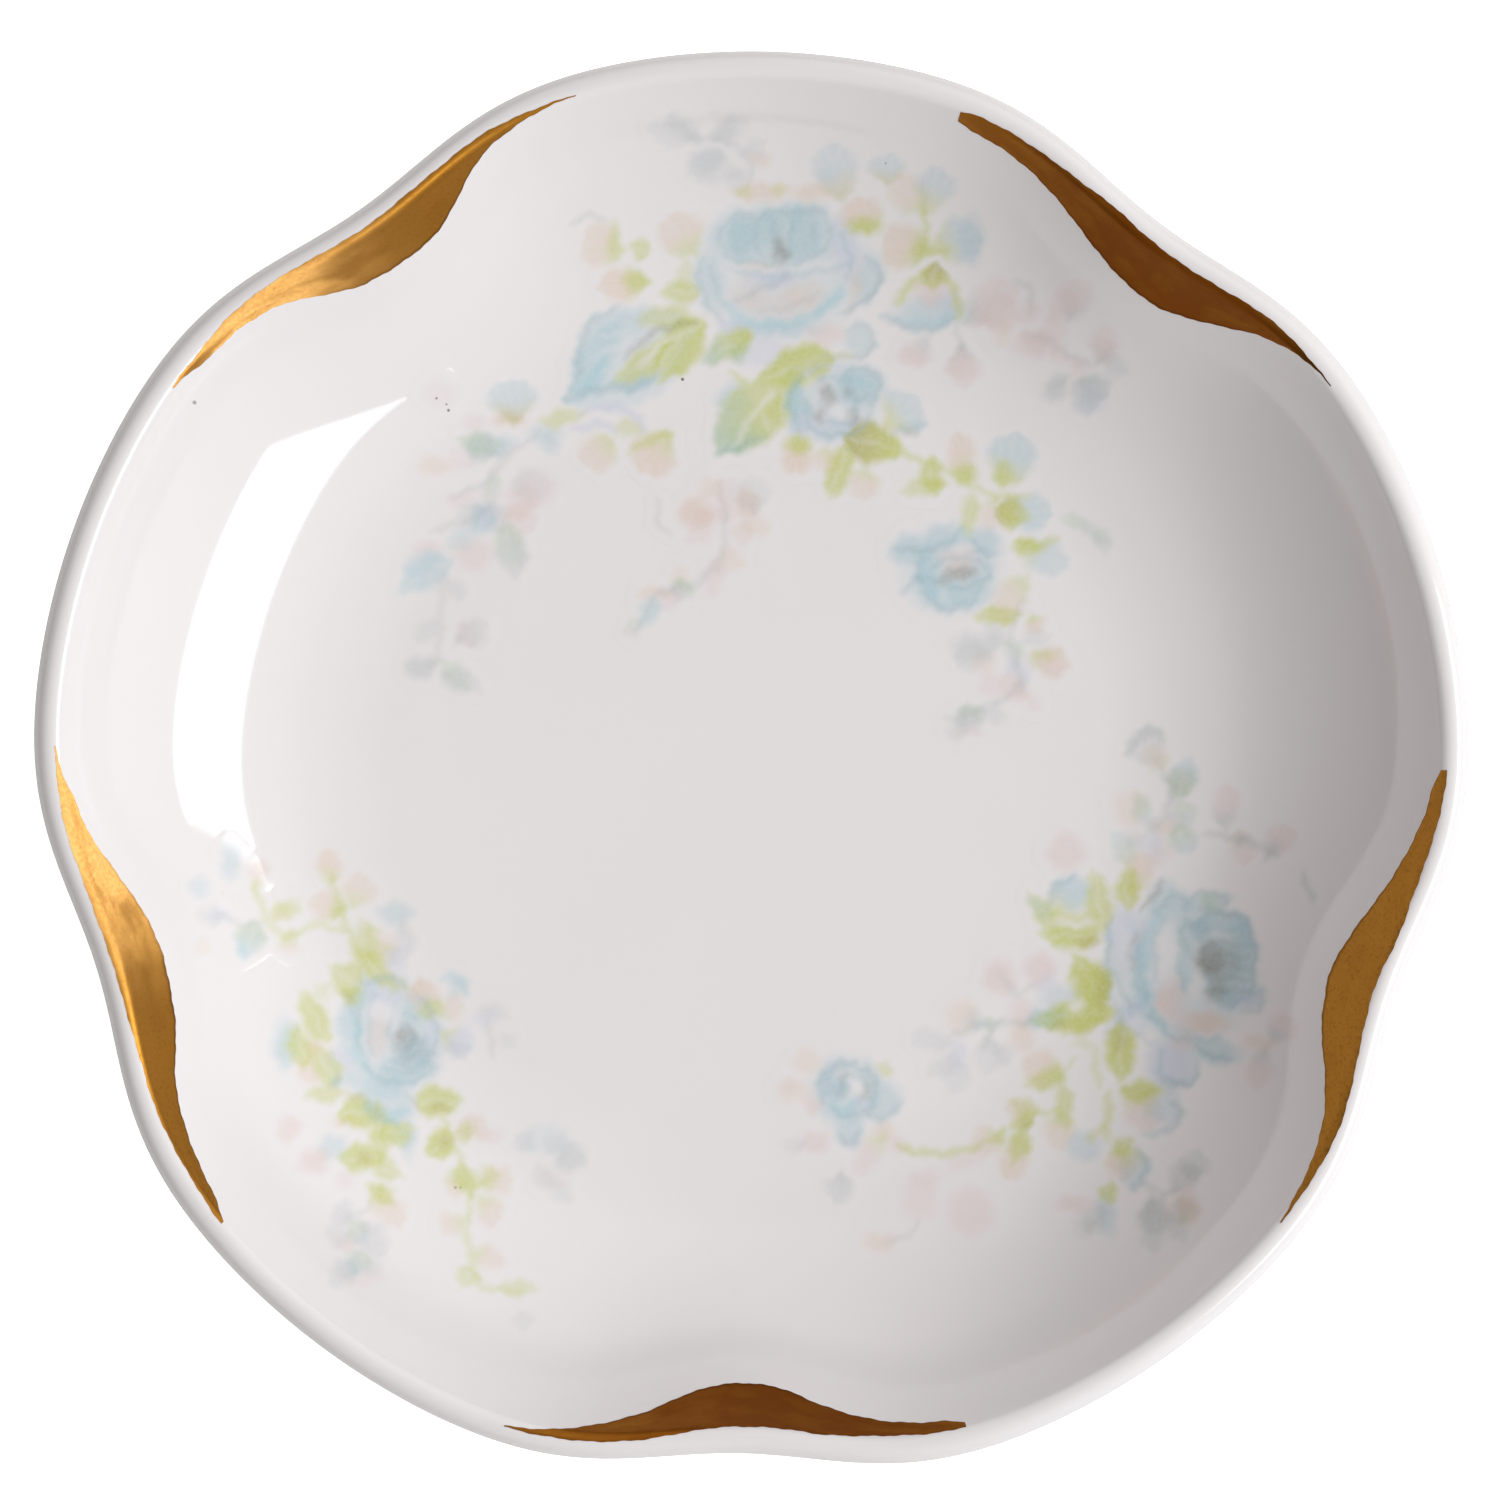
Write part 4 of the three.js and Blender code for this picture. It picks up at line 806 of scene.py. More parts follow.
class Sheet:
    """Squared paper under a print: the colour laid at each of its points, and how thickly."""

    def __init__(self, x, y):
        self.x = x + WAVER * np.sin(1.9 * y + 0.8 * x) + FINE_WAVER * np.sin(4.7 * y - 1.3 * x)
        self.y = y + WAVER * np.sin(2.1 * x - 0.7 * y) + FINE_WAVER * np.sin(4.3 * x + 1.7 * y)
        self.colour = np.tile(np.array(WHITE[:3]), (len(x), 1))
        self.cover = np.zeros(len(x))

    def lay(self, depth, edge, first, second, share, strength):
        """Lays a thin colour: depth is how far inside its outline a point lies, and edge its softness."""
        level = np.clip(0.5 + depth / (2 * edge), 0, 1)
        mask = strength * PRINT_STRENGTH * level ** 2 * (3 - 2 * level)
        share = np.clip(share, 0, 1)[:, None]
        pigment = np.array(first[:3]) * (1 - share) + np.array(second[:3]) * share
        cover = mask + self.cover * (1 - mask)
        kept = (self.cover * (1 - mask) / np.maximum(cover, 1e-6))[:, None]
        self.colour = np.where(mask[:, None] > 0, kept * self.colour + (1 - kept) * pigment, self.colour)
        self.cover = cover

    def wash(self, colour, x, y, width, height, strength, turn=0):
        """An oval wash with a soft rim."""
        turn = math.radians(turn)
        right, up = self.x - x, y - self.y
        along = (right * math.cos(turn) + up * math.sin(turn)) / (width / 2)
        across = (up * math.cos(turn) - right * math.sin(turn)) / (height / 2)
        small = min(width, height)
        depth = (1 - np.hypot(along, across)) * small / 2
        edge = min(WASH_EDGE + WASH_EDGE_SHARE * small, WASH_EDGE_MOST)
        self.lay(depth, edge, colour, colour, np.zeros(len(depth)), strength)

    def along_blade(self, x0, y0, x1, y1):
        """Share of the way from foot to tip, distance from the middle line, and distance past the ends."""
        length = math.hypot(x1 - x0, y1 - y0)
        ux, uy = (x1 - x0) / length, (y1 - y0) / length
        share = ((self.x - x0) * ux + (self.y - y0) * uy) / length
        aside = (self.y - y0) * ux - (self.x - x0) * uy
        beyond = np.maximum(-share, share - 1) * length
        return np.clip(share, 0, 1), aside, beyond

    def leaf(self, first, second, x0, y0, x1, y1, width, strength):
        """A pointed leaf, broadest a little below its middle, with a paler rib."""
        share, aside, beyond = self.along_blade(x0, y0, x1, y1)
        half = width / 2 * np.sin(math.pi * share ** LEAF_BELLY) ** LEAF_FULLNESS
        depth = np.where(beyond > 0, -np.hypot(beyond, aside), half - np.abs(aside))
        rib = 1 - LEAF_RIB * np.exp(-(aside / LEAF_RIB_WIDTH) ** 2)
        shade = (share - LEAF_SHADE_START) / LEAF_SHADE_LENGTH
        self.lay(depth, LEAF_EDGE, first, second, shade, strength * rib)

    def fan(self, first, second, x0, y0, x1, y1, width, strength):
        """A small fan-shaped leaflet: narrow foot, round end, fine ribs that spread from the foot."""
        share, aside, beyond = self.along_blade(x0, y0, x1, y1)
        foot = np.sin(math.pi / 2 * share / FAN_SHOULDER) ** FAN_FULLNESS
        crown = np.sqrt(np.clip(1 - ((share - FAN_SHOULDER) / (1 - FAN_SHOULDER)) ** 2, 0, 1))
        half = width / 2 * np.where(share < FAN_SHOULDER, foot, crown)
        depth = np.where(beyond > 0, -np.hypot(beyond, aside), half - np.abs(aside))
        spread = aside / (width / 2 * (0.2 + share))
        ribs = 1 + FAN_RIB_DEPTH * np.sin(FAN_RIBS * spread) * share
        fade = FAN_FOOT_STRENGTH - FAN_FADE * share
        shade = (share - FAN_SHADE_START) / FAN_SHADE_LENGTH
        self.lay(depth - FAN_INSET, FAN_EDGE, first, second, shade, strength * ribs * fade)

    def line(self, colour, width, strength, *path):
        """A brush stroke through the points of a path, pointed at both ends."""
        knots = np.array(path, float).reshape(-1, 2)
        dense = np.linspace(0, len(knots) - 1, LINE_STEPS * (len(knots) - 1) + 1)
        route = np.column_stack([smooth_knots(dense, knots[:, axis]) for axis in (0, 1)])
        depth = np.full(len(self.x), -np.inf)
        for share, (x, y) in zip(np.linspace(0, 1, len(route)), route):
            swell = math.sin(math.pi * share) ** LINE_FULLNESS
            brush = width / 2 * (LINE_TIP + (1 - LINE_TIP) * swell)
            depth = np.maximum(depth, brush - np.hypot(self.x - x, self.y - y))
        self.lay(depth, LINE_EDGE, colour, colour, np.zeros(len(depth)), strength)


def smooth_knots(at, values):
    """A smooth curve through equally spaced values."""
    padded = np.concatenate([[2 * values[0] - values[1]], values, [2 * values[-1] - values[-2]]])
    i = np.minimum(at.astype(int), len(values) - 2)
    t = at - i
    a, b, c, d = (padded[i + k] for k in range(4))
    bend = (2 * a - 5 * b + 4 * c - d) * t ** 2
    return 0.5 * (2 * b + (c - a) * t + bend + (3 * b - a - 3 * c + d) * t ** 3)


def on_dish(x, y):
    """Place on the dish, in millimetres from the axis, of a point of the paper, which lies on the lip."""
    right = (x - SHEET_AXIS[0]) * SQUARE
    back = (SHEET_AXIS[1] - y) * SQUARE
    stretch = 1 + (RIM_HEIGHT - surface_height(right, back)) * MM / CAMERA_DISTANCE
    right, back = right * stretch, back * stretch
    turned_right = right * math.cos(PRINT_TURN) - back * math.sin(PRINT_TURN)
    turned_back = right * math.sin(PRINT_TURN) + back * math.cos(PRINT_TURN)
    return turned_right, turned_back


def rings_round(painted):
    """Grid steps from the painted parts, counted to just past the margin."""
    ring = np.where(painted, 0, PRINT_MARGIN + 1)
    for step in range(1, PRINT_MARGIN + 1):
        grown = np.pad(painted, 1)
        upright = grown[:-2, 1:-1] | grown[2:, 1:-1]
        painted = painted | upright | grown[1:-1, :-2] | grown[1:-1, 2:]
        ring = np.where(painted & (ring > step), step, ring)
    return ring


def make_spray(name, material):
    """Paints a spray on a fine grid, cuts the grid to the painted parts and lays it on the dish."""
    (left, top, wide, high), layers = SPRAYS[name]
    columns = round(wide * SQUARE / PRINT_STEP)
    rows = round(high * SQUARE / PRINT_STEP)
    bpy.ops.object.select_all(action="DESELECT")
    bpy.ops.mesh.primitive_grid_add(x_subdivisions=columns, y_subdivisions=rows, size=1)
    spray = new_object("print_" + name)
    points = read_points(spray.data)
    sheet_x = left + wide * (points[:, 0] + 0.5)
    sheet_y = top + high * (0.5 - points[:, 1])
    sheet = Sheet(sheet_x, sheet_y)
    for kind, *colours, marks in layers:
        for mark in marks:
            getattr(sheet, kind)(*colours, *mark)
    ink = spray.data.attributes.new("ink", "FLOAT_COLOR", "POINT")
    ink.data.foreach_set("color", np.column_stack([sheet.colour, sheet.cover]).ravel())
    order = np.lexsort((sheet_x.round(4), sheet_y.round(4)))
    painted = (sheet.cover[order] > PRINT_FAINTEST).reshape(rows + 1, columns + 1)
    rings = np.empty(len(points))
    rings[order] = rings_round(painted).ravel()
    right, back = on_dish(sheet_x, sheet_y)
    sink = PRINT_SINK * np.clip(rings / PRINT_MARGIN, 0, 1) ** 2
    z = surface_height(right, back) + PRINT_LIFT - sink
    write_points(spray.data, np.column_stack([right, back + AXIS_Y, z]) * MM)
    bpy.ops.object.mode_set(mode="EDIT")
    bpy.ops.mesh.select_mode(type="VERT")
    bpy.ops.mesh.select_all(action="DESELECT")
    bpy.ops.object.mode_set(mode="OBJECT")
    spray.data.vertices.foreach_set("select", rings > PRINT_MARGIN)
    bpy.ops.object.mode_set(mode="EDIT")
    bpy.ops.mesh.delete(type="VERT")
    bpy.ops.object.mode_set(mode="OBJECT")
    face_up(spray)
    thicken(spray, PRINT_THICKNESS)
    place(spray, "transfer_spray_" + name, material)


def wire(tree, node, inputs):
    """Fills a node's inputs: each is linked to a socket or to a node's first output, or set to a value."""
    for key, value in (inputs.items() if isinstance(inputs, dict) else enumerate(inputs)):
        if isinstance(value, bpy.types.Node):
            value = next(output for output in value.outputs if output.enabled)
        if isinstance(value, bpy.types.NodeSocket):
            tree.links.new(value, node.inputs[key])
        else:
            node.inputs[key].default_value = value


def add(tree, kind, inputs=(), **settings):
    """Adds a node with its settings, fills its inputs and returns it."""
    node = tree.nodes.new("ShaderNode" + kind)
    for name, value in settings.items():
        setattr(node, name, value)
    wire(tree, node, inputs)
    return node


def new_material(name):
    material = bpy.data.materials.new(name)
    material.use_nodes = True
    return material, material.node_tree, material.node_tree.nodes["Principled BSDF"]


# A smooth step is written as two levels of what it reads, and its value up to the first and past the second
SMOOTH = {"interpolation_type": "SMOOTHSTEP"}

# Porcelain and glaze, with sizes in millimetres; the grain is drawn as coarse as it needs to show
PORCELAIN_WARM = srgb("#EBE6E6")
WARM_PATCH = 11.1
RIPPLE_WIDTH = 3.85
RIPPLE_HEIGHT = 0.02
RIPPLE_STRENGTH = 0.05
GLAZE_ROUGHNESS = 0.06
GLAZE_IOR = 1.58
FOOT_ROUGHNESS = 0.7
FOOT_BARE = (0.15 * MM, 0.3 * MM, FOOT_ROUGHNESS, GLAZE_ROUGHNESS)
PRINT_GRAIN = 0.238
PRINT_DENSITY = (0.25, 0.75, 0.92, 1.06)

# Small faults in the glaze: place on the squared paper, radius in millimetres, and strength
SPECKS = (
    (68.3, 38.0, 0.10, 0.9), (43.7, 39.9, 0.08, 0.8), (44.7, 40.5, 0.07, 0.7), (44.9, 41.1, 0.09, 0.8),
    (19.5, 40.3, 0.12, 0.6), (45.6, 118.8, 0.09, 0.8), (46.1, 118.8, 0.08, 0.8), (88.6, 16.4, 0.07, 0.5),
)
SPECK_COLOUR = srgb("#4A4438")
SPECK_CORE = 0.4
SPECK_HALO = 1.3


def porcelain_white(tree, where):
    """The white of the glazed body, a touch warmer in places, with a few dark specks in the glaze."""
    cloud = add(tree, "TexNoise", {"Vector": where, "Scale": 1 / (WARM_PATCH * MM), "Detail": 2.0})
    colour = add(tree, "Mix", {0: cloud, 6: WHITE, 7: PORCELAIN_WARM}, data_type="RGBA")
    flat = add(tree, "VectorMath", [where, (1, 1, 0)], operation="MULTIPLY")
    for x, y, radius, strength in SPECKS:
        right, back = on_dish(x, y)
        spot = (right * MM, (back + AXIS_Y) * MM, 0)
        away = add(tree, "VectorMath", [flat, spot], operation="DISTANCE")
        reach = (SPECK_CORE * radius * MM, SPECK_HALO * radius * MM)
        share = add(tree, "MapRange", [away, *reach, strength, 0.0], **SMOOTH)
        colour = add(tree, "Mix", {0: share, 6: colour, 7: SPECK_COLOUR}, data_type="RGBA")
    return colour


def glaze(tree, shader, where):
    """A clear, smooth glaze with the slight ripple of a fired surface."""
    ripple = add(tree, "TexNoise", {"Vector": where, "Scale": 1 / (RIPPLE_WIDTH * MM), "Detail": 1.0})
    height = {"Strength": RIPPLE_STRENGTH, "Distance": RIPPLE_HEIGHT * MM, "Height": ripple}
    bump = add(tree, "Bump", height)
    wire(tree, shader, {"Normal": bump, "Roughness": GLAZE_ROUGHNESS, "IOR": GLAZE_IOR})


def make_porcelain():
    """Glazed porcelain: bright, even white under a smooth clear glaze; the foot's bearing edge is bare."""
    material, tree, shader = new_material("glazed_porcelain")
    where = add(tree, "TexCoord").outputs["Object"]
    glaze(tree, shader, where)
    height = add(tree, "SeparateXYZ", [where]).outputs["Z"]
    rough = add(tree, "MapRange", [height, *FOOT_BARE], **SMOOTH)
    wire(tree, shader, {"Base Color": porcelain_white(tree, where), "Roughness": rough})
    return material


def make_print():
    """Transfer print in the glaze: soft, faintly grained washes of colour that let the white through."""
    material, tree, shader = new_material("transfer_print")
    where = add(tree, "TexCoord").outputs["Object"]
    ink = add(tree, "Attribute", attribute_name="ink", attribute_type="GEOMETRY")
    grain = add(tree, "TexNoise", {"Vector": where, "Scale": 1 / (PRINT_GRAIN * MM), "Detail": 2.0})
    density = add(tree, "MapRange", [grain, *PRINT_DENSITY], **SMOOTH)
    share = add(tree, "Math", [ink.outputs["Alpha"], density], operation="MULTIPLY")
    white = porcelain_white(tree, where)
    colour = add(tree, "Mix", {0: share, 6: white, 7: ink.outputs["Color"]}, data_type="RGBA")
    glaze(tree, shader, where)
    wire(tree, shader, {"Base Color": colour})
    return material


# Gilding: brown, made yellower by painted reflection on the softbox side and on the far side, and with a
# painted highlight of the softbox where its shading leans flattest, on one side of the dish. A side is read
# as 1 towards the highlight and -1 away from it, streaks run along each stroke, and the grain is drawn as
# coarse as it needs to show.
GILT_RIM = srgb("#5A3008")
# Brown gold, and the yellower tone that painted reflection lays on it
GILT_BROWN = srgb("#7C440F")
GILT_YELLOW = srgb("#B27A2C")
# Colour of the painted highlight of the softbox
GILT_HIGHLIGHT = srgb("#BA9058")
GILT_GRAIN = 0.192
GILT_GRAIN_HEIGHT = 0.004
GILT_GRAIN_STRENGTH = 0.03
GILT_STREAKS = (9, 2.5, 0)
GILT_STREAK_SCALE = 0.9
GILT_STREAK_COLOUR = (0.3, 0.7, -0.12, 0.14)
# Painted reflection: ramps of the side that make the gold yellower towards the softbox and on the far side
GILT_REFLECTION_NEAR = (-0.35, 0.4, 0.0, 1.0)
GILT_REFLECTION_FAR = (-1.0, -0.4, 1.0, 0.0)
GILT_PITS = (0.5, 0.75, 0.0, 0.3)
GILT_INNER_RIM = (0.92, 0.99, 0.0, 0.6)
GILT_SATIN = (0.3, 0.7, 0.28, 0.36)
# Painted highlight of the softbox: its middle round the dish, the gentle slope its shading leans to, and
# its ramps
HIGHLIGHT_ANGLE = math.radians(163)
HIGHLIGHT_WAY = (math.cos(HIGHLIGHT_ANGLE), math.sin(HIGHLIGHT_ANGLE), 0)
HIGHLIGHT_SLOPE = math.radians(27)
HIGHLIGHT_SIDE = (0.72, 0.93, 0.0, 1.0)
HIGHLIGHT_TAIL = (0.82, 1.0, 1.0, 0.3)
HIGHLIGHT_PATCHES = (0.34, 0.64, 0.66, 1.0)
HIGHLIGHT_SHARE = 0.8
HIGHLIGHT_ROUGHENING = (0.0, 1.0, 0.0, 0.1)
STEEP_SIDE = (-0.8, -0.4, 0.9, 0.0)


def gilt_facing(tree, outward, side, painted_highlight):
    """Leans the shading of the gold: flatter under the painted highlight, as steep as the wall on the far
    side.
    """
    gentle = (-math.tan(HIGHLIGHT_SLOPE),) * 3
    steep = (-math.tan(WALL_SLOPE),) * 3
    upwards = (0, 0, 1)
    away = add(tree, "VectorMath", [outward, HIGHLIGHT_WAY], operation="ADD")
    away = add(tree, "VectorMath", [away], operation="NORMALIZE")
    flatter = add(tree, "VectorMath", [away, gentle, upwards], operation="MULTIPLY_ADD")
    facing = add(tree, "NewGeometry").outputs["Normal"]
    facing = add(tree, "Mix", {0: painted_highlight, 4: facing, 5: flatter}, data_type="VECTOR")
    like_wall = add(tree, "VectorMath", [outward, steep, upwards], operation="MULTIPLY_ADD")
    like_wall = add(tree, "VectorMath", [like_wall], operation="NORMALIZE")
    far = add(tree, "MapRange", [side, *STEEP_SIDE], **SMOOTH)
    facing = add(tree, "Mix", {0: far, 4: facing, 5: like_wall}, data_type="VECTOR")
    return add(tree, "VectorMath", [facing], operation="NORMALIZE")


def gilt_reflection_tone(tree, side, cloud):
    """The gold's tone from painted reflection: yellowest on the highlighted side and the far side, with
    streaks of the brush.
    """
    near = add(tree, "MapRange", [side, *GILT_REFLECTION_NEAR], **SMOOTH)
    far = add(tree, "MapRange", [side, *GILT_REFLECTION_FAR], **SMOOTH)
    gold_tone = add(tree, "Math", [near, far], operation="MAXIMUM")
    streaks = add(tree, "MapRange", [cloud, *GILT_STREAK_COLOUR], **SMOOTH)
    return add(tree, "Math", [gold_tone, streaks], operation="ADD")


def gilt_painted_highlight(tree, side, along, cloud):
    """Painted highlight of the softbox in the gold: on one side of the dish, less towards a stroke's end,
    and in patches.
    """
    painted_highlight = add(tree, "MapRange", [side, *HIGHLIGHT_SIDE], **SMOOTH)
    tail = add(tree, "MapRange", [along, *HIGHLIGHT_TAIL], **SMOOTH)
    painted_highlight = add(tree, "Math", [painted_highlight, tail], operation="MULTIPLY")
    patches = add(tree, "MapRange", [cloud, *HIGHLIGHT_PATCHES], **SMOOTH)
    return add(tree, "Math", [painted_highlight, patches], operation="MULTIPLY")


def make_gilt():
    """Brushed-on gold with a satin shine: brown, yellower with painted reflection, with a painted highlight
    of the softbox, faintly grained, and a fine dark inner rim.
    """
    material, tree, shader = new_material("burnished_gilding")
    coordinates = add(tree, "TexCoord")
    where, brush = coordinates.outputs["Object"], coordinates.outputs["UV"]
    span = add(tree, "SeparateXYZ", [brush])
    stretched = add(tree, "VectorMath", [brush, GILT_STREAKS], operation="MULTIPLY")
    shifted = add(tree, "VectorMath", [stretched, where], operation="ADD")
    cloud = add(tree, "TexNoise", {"Vector": shifted, "Scale": GILT_STREAK_SCALE, "Detail": 3.0})
    grain = add(tree, "TexNoise", {"Vector": where, "Scale": 1 / (GILT_GRAIN * MM), "Detail": 2.0})
    centred = add(tree, "VectorMath", [where, (0, AXIS_Y * MM, 0)], operation="SUBTRACT")
    flat = add(tree, "VectorMath", [centred, (1, 1, 0)], operation="MULTIPLY")
    outward = add(tree, "VectorMath", [flat], operation="NORMALIZE")
    side = add(tree, "VectorMath", [outward, HIGHLIGHT_WAY], operation="DOT_PRODUCT")
    painted_highlight = gilt_painted_highlight(tree, side, span.outputs["X"], cloud)

    # Painted reflection, with brush streaks: yellower on the softbox side and on the far side
    gold_tone = gilt_reflection_tone(tree, side, cloud)
    colour = add(tree, "Mix", {0: gold_tone, 6: GILT_BROWN, 7: GILT_YELLOW}, data_type="RGBA")
    pits = add(tree, "MapRange", [grain, *GILT_PITS], **SMOOTH)
    colour = add(tree, "Mix", {0: pits, 6: colour, 7: GILT_BROWN}, data_type="RGBA")
    rim = add(tree, "MapRange", [span.outputs["Y"], *GILT_INNER_RIM], **SMOOTH)
    colour = add(tree, "Mix", {0: rim, 6: colour, 7: GILT_RIM}, data_type="RGBA")
    # Painted highlight of the softbox, laid into the gold's colour
    share = add(tree, "Math", [painted_highlight, HIGHLIGHT_SHARE], operation="MULTIPLY")
    colour = add(tree, "Mix", {0: share, 6: colour, 7: GILT_HIGHLIGHT}, data_type="RGBA")

    satin = add(tree, "MapRange", [grain, *GILT_SATIN], **SMOOTH)
    # Rougher under the painted highlight, which softens it
    highlight_softening = add(tree, "MapRange", [painted_highlight, *HIGHLIGHT_ROUGHENING], **SMOOTH)
    rough = add(tree, "Math", [satin, highlight_softening], operation="ADD")
    height = {"Strength": GILT_GRAIN_STRENGTH, "Distance": GILT_GRAIN_HEIGHT * MM, "Height": grain}
    bump = add(tree, "Bump", {**height, "Normal": gilt_facing(tree, outward, side, painted_highlight)})
    wire(tree, shader, {"Base Color": colour, "Metallic": 1.0, "Roughness": rough, "Normal": bump})
    return material


# Camera straight above the dish
CAMERA_DISTANCE = 0.6
FRAME_WIDTH = 82.29 * MM
CAMERA_X = -0.05 * MM
CAMERA_Y = 0.33 * MM
CAMERA_ROLL = math.radians(1.0)
CAMERA_SENSOR = 36
CAMERA_NEAREST = 0.01
CAMERA_FARTHEST = 10


def make_camera():
    bpy.ops.object.camera_add(location=(CAMERA_X, CAMERA_Y, RIM_HEIGHT * MM + CAMERA_DISTANCE))
    camera = bpy.context.object
    camera.rotation_euler = (0, 0, CAMERA_ROLL)
    camera.data.sensor_width = CAMERA_SENSOR
    camera.data.lens = CAMERA_SENSOR * CAMERA_DISTANCE / FRAME_WIDTH
    camera.data.clip_end = CAMERA_FARTHEST
    camera.data.clip_start = CAMERA_NEAREST
    bpy.context.scene.camera = camera


# A long softbox on the right; its ends are given as shares of its length
SOFTBOX_AZIMUTH = math.radians(-14.5)
SOFTBOX_ELEVATION = math.radians(38)
SOFTBOX_DISTANCE = 0.6
SOFTBOX_SIZE = (0.8, 0.25)
SOFTBOX_RADIANCE = 4.42
SOFTBOX_COLOUR = (0.935, 1.0, 1.03)
NEAR_END = 0.122
NEAR_SLANT = 0.13
NEAR_EDGE = (-0.04, 0.04, 0.0, 1.0)
FAR_END = 0.872
FAR_SLANT = 0.076
FAR_EDGE = (-0.25, 0.25, 0.0, 1.0)


def shape_softbox(lamp):
    """Slants both ends of the softbox: the near one rises from its lower edge, the far one falls to it."""
    lamp.use_nodes = True
    tree = lamp.node_tree
    spot = add(tree, "SeparateXYZ", [add(tree, "NewGeometry").outputs["Parametric"]])
    along, up = spot.outputs["X"], spot.outputs["Y"]
    from_end = add(tree, "Math", [along, NEAR_END], operation="SUBTRACT")
    slant = add(tree, "Math", [from_end, NEAR_SLANT], operation="DIVIDE")
    bottom = add(tree, "Math", [1.0, slant], operation="SUBTRACT")
    over = add(tree, "Math", [up, bottom], operation="SUBTRACT")
    over = add(tree, "MapRange", [over, *NEAR_EDGE], **SMOOTH)
    to_end = add(tree, "Math", [FAR_END, along], operation="SUBTRACT")
    top = add(tree, "Math", [to_end, FAR_SLANT], operation="DIVIDE")
    under = add(tree, "Math", [top, up], operation="SUBTRACT")
    under = add(tree, "MapRange", [under, *FAR_EDGE], **SMOOTH)
    shape = add(tree, "Math", [over, under], operation="MULTIPLY")
    wire(tree, tree.nodes["Emission"], {"Strength": shape})


def make_light():
    level = SOFTBOX_DISTANCE * math.cos(SOFTBOX_ELEVATION)
    height = SOFTBOX_DISTANCE * math.sin(SOFTBOX_ELEVATION)
    spot = (level * math.cos(SOFTBOX_AZIMUTH), level * math.sin(SOFTBOX_AZIMUTH), height)
    bpy.ops.object.light_add(type="AREA", location=spot)
    lamp = bpy.context.object
    lamp.name = "softbox"
    lamp.rotation_euler = (math.pi / 2 - SOFTBOX_ELEVATION, 0, SOFTBOX_AZIMUTH + math.pi / 2)
    lamp.data.shape = "RECTANGLE"
    lamp.data.size, lamp.data.size_y = SOFTBOX_SIZE
    lamp.data.color = SOFTBOX_COLOUR
    lamp.data.energy = SOFTBOX_RADIANCE * math.pi * SOFTBOX_SIZE[0] * SOFTBOX_SIZE[1]
    shape_softbox(lamp.data)


# The room is pale except to the left and low down behind; ways are read as shares of a unit arrow
ROOM_COLOUR = (1.035, 1.0, 0.985, 1)
ROOM_LEVEL = 0.79
ROOM_SKEW = 0.14
ROOM_FROM_LEFT = (-0.73, -0.36, 0.0, ROOM_LEVEL)
ROOM_OVERHEAD = (0.84, 0.94, 1.0, 0.7)
ROOM_BEHIND = (0.1, 0.7, 1.0, 1.3)
ROOM_IN_FRONT = (-0.7, -0.2, 0.81, 1.0)
ROOM_LOW = (0.12, 0.34, 0.72, 0.0)
ROOM_LOW_BEHIND = (0.1, 0.6, 0.0, 1.0)


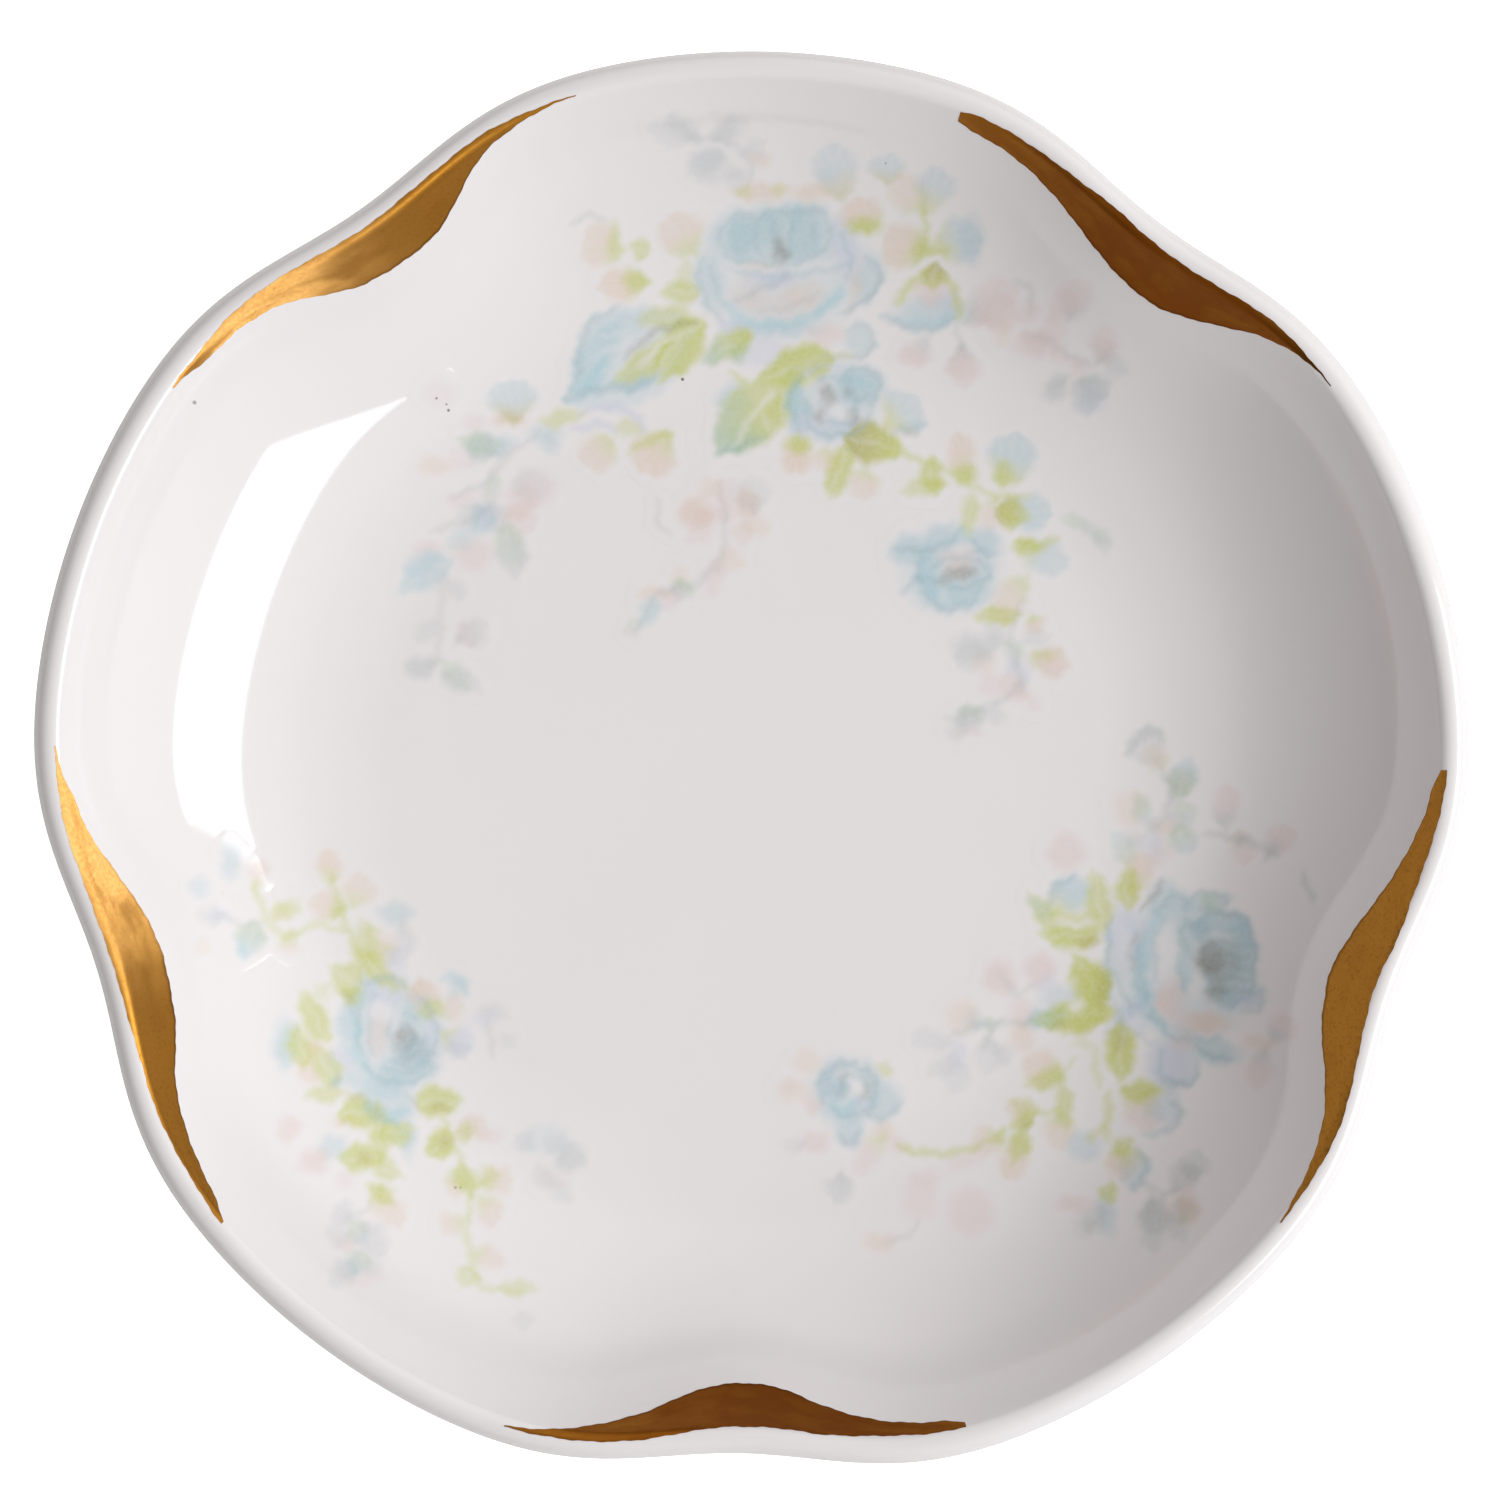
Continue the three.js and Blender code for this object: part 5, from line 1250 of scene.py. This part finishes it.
def make_room():
    """Soft light from all round, dimmer overhead, none from the left and little from low down behind."""
    world = bpy.data.worlds.new("studio")
    bpy.context.scene.world = world
    world.use_nodes = True
    tree = world.node_tree
    way = add(tree, "SeparateXYZ", [add(tree, "TexCoord").outputs["Generated"]])
    right, back, up = way.outputs["X"], way.outputs["Y"], way.outputs["Z"]
    skew = add(tree, "Math", [back, ROOM_SKEW], operation="MULTIPLY")
    aside = add(tree, "Math", [right, skew], operation="SUBTRACT")
    level = add(tree, "MapRange", [aside, *ROOM_FROM_LEFT], **SMOOTH)
    for reading, step in ((up, ROOM_OVERHEAD), (back, ROOM_BEHIND), (back, ROOM_IN_FRONT)):
        share = add(tree, "MapRange", [reading, *step], **SMOOTH)
        level = add(tree, "Math", [level, share], operation="MULTIPLY")
    low = add(tree, "MapRange", [up, *ROOM_LOW], **SMOOTH)
    behind = add(tree, "MapRange", [back, *ROOM_LOW_BEHIND], **SMOOTH)
    dark = add(tree, "Math", [low, behind], operation="MULTIPLY")
    kept = add(tree, "Math", [1.0, dark], operation="SUBTRACT")
    level = add(tree, "Math", [level, kept], operation="MULTIPLY")
    wire(tree, tree.nodes["Background"], {"Color": ROOM_COLOUR, "Strength": level})


# White paper under the dish: how it looks to the camera, and the faint glow that it throws on the dish
PAPER_WHITE = srgb("#F0F0F0")
PAPER_SIZE = 3
PAPER_ROUGHNESS = 0.9
PAPER_TO_CAMERA = 0.75
PAPER_SKEW = 0.35
PAPER_GLOW = (-0.045, 0.045, 0.15, 0.0)


def make_floor():
    """White paper that stays white to the camera and still takes the dish's shadow faintly."""
    bpy.ops.object.select_all(action="DESELECT")
    bpy.ops.mesh.primitive_plane_add(size=PAPER_SIZE)
    floor = new_object("floor")
    material, tree, shader = new_material("white_paper")
    way = add(tree, "SeparateXYZ", [add(tree, "TexCoord").outputs["Object"]])
    skew = add(tree, "Math", [way.outputs["Y"], PAPER_SKEW], operation="MULTIPLY")
    aside = add(tree, "Math", [way.outputs["X"], skew], operation="SUBTRACT")
    glow = add(tree, "MapRange", [aside, *PAPER_GLOW], **SMOOTH)
    more = add(tree, "Math", [PAPER_TO_CAMERA, glow], operation="SUBTRACT")
    camera_ray = add(tree, "LightPath").outputs["Is Camera Ray"]
    more = add(tree, "Math", [camera_ray, more], operation="MULTIPLY")
    glow = add(tree, "Math", [glow, more], operation="ADD")
    wire(tree, shader, {"Base Color": PAPER_WHITE, "Roughness": PAPER_ROUGHNESS})
    wire(tree, shader, {"Emission Color": (1, 1, 1, 1), "Emission Strength": glow})
    floor.data.materials.append(material)


make_camera()
make_light()
make_room()
make_floor()
make_dish(make_porcelain())
GILT = make_gilt()
for number, stroke_name in enumerate(GILT_STROKES):
    make_stroke(number, stroke_name, GILT)
PRINT = make_print()
for spray_name in SPRAYS:
    make_spray(spray_name, PRINT)

bpy.context.scene.view_settings.view_transform = "Standard"
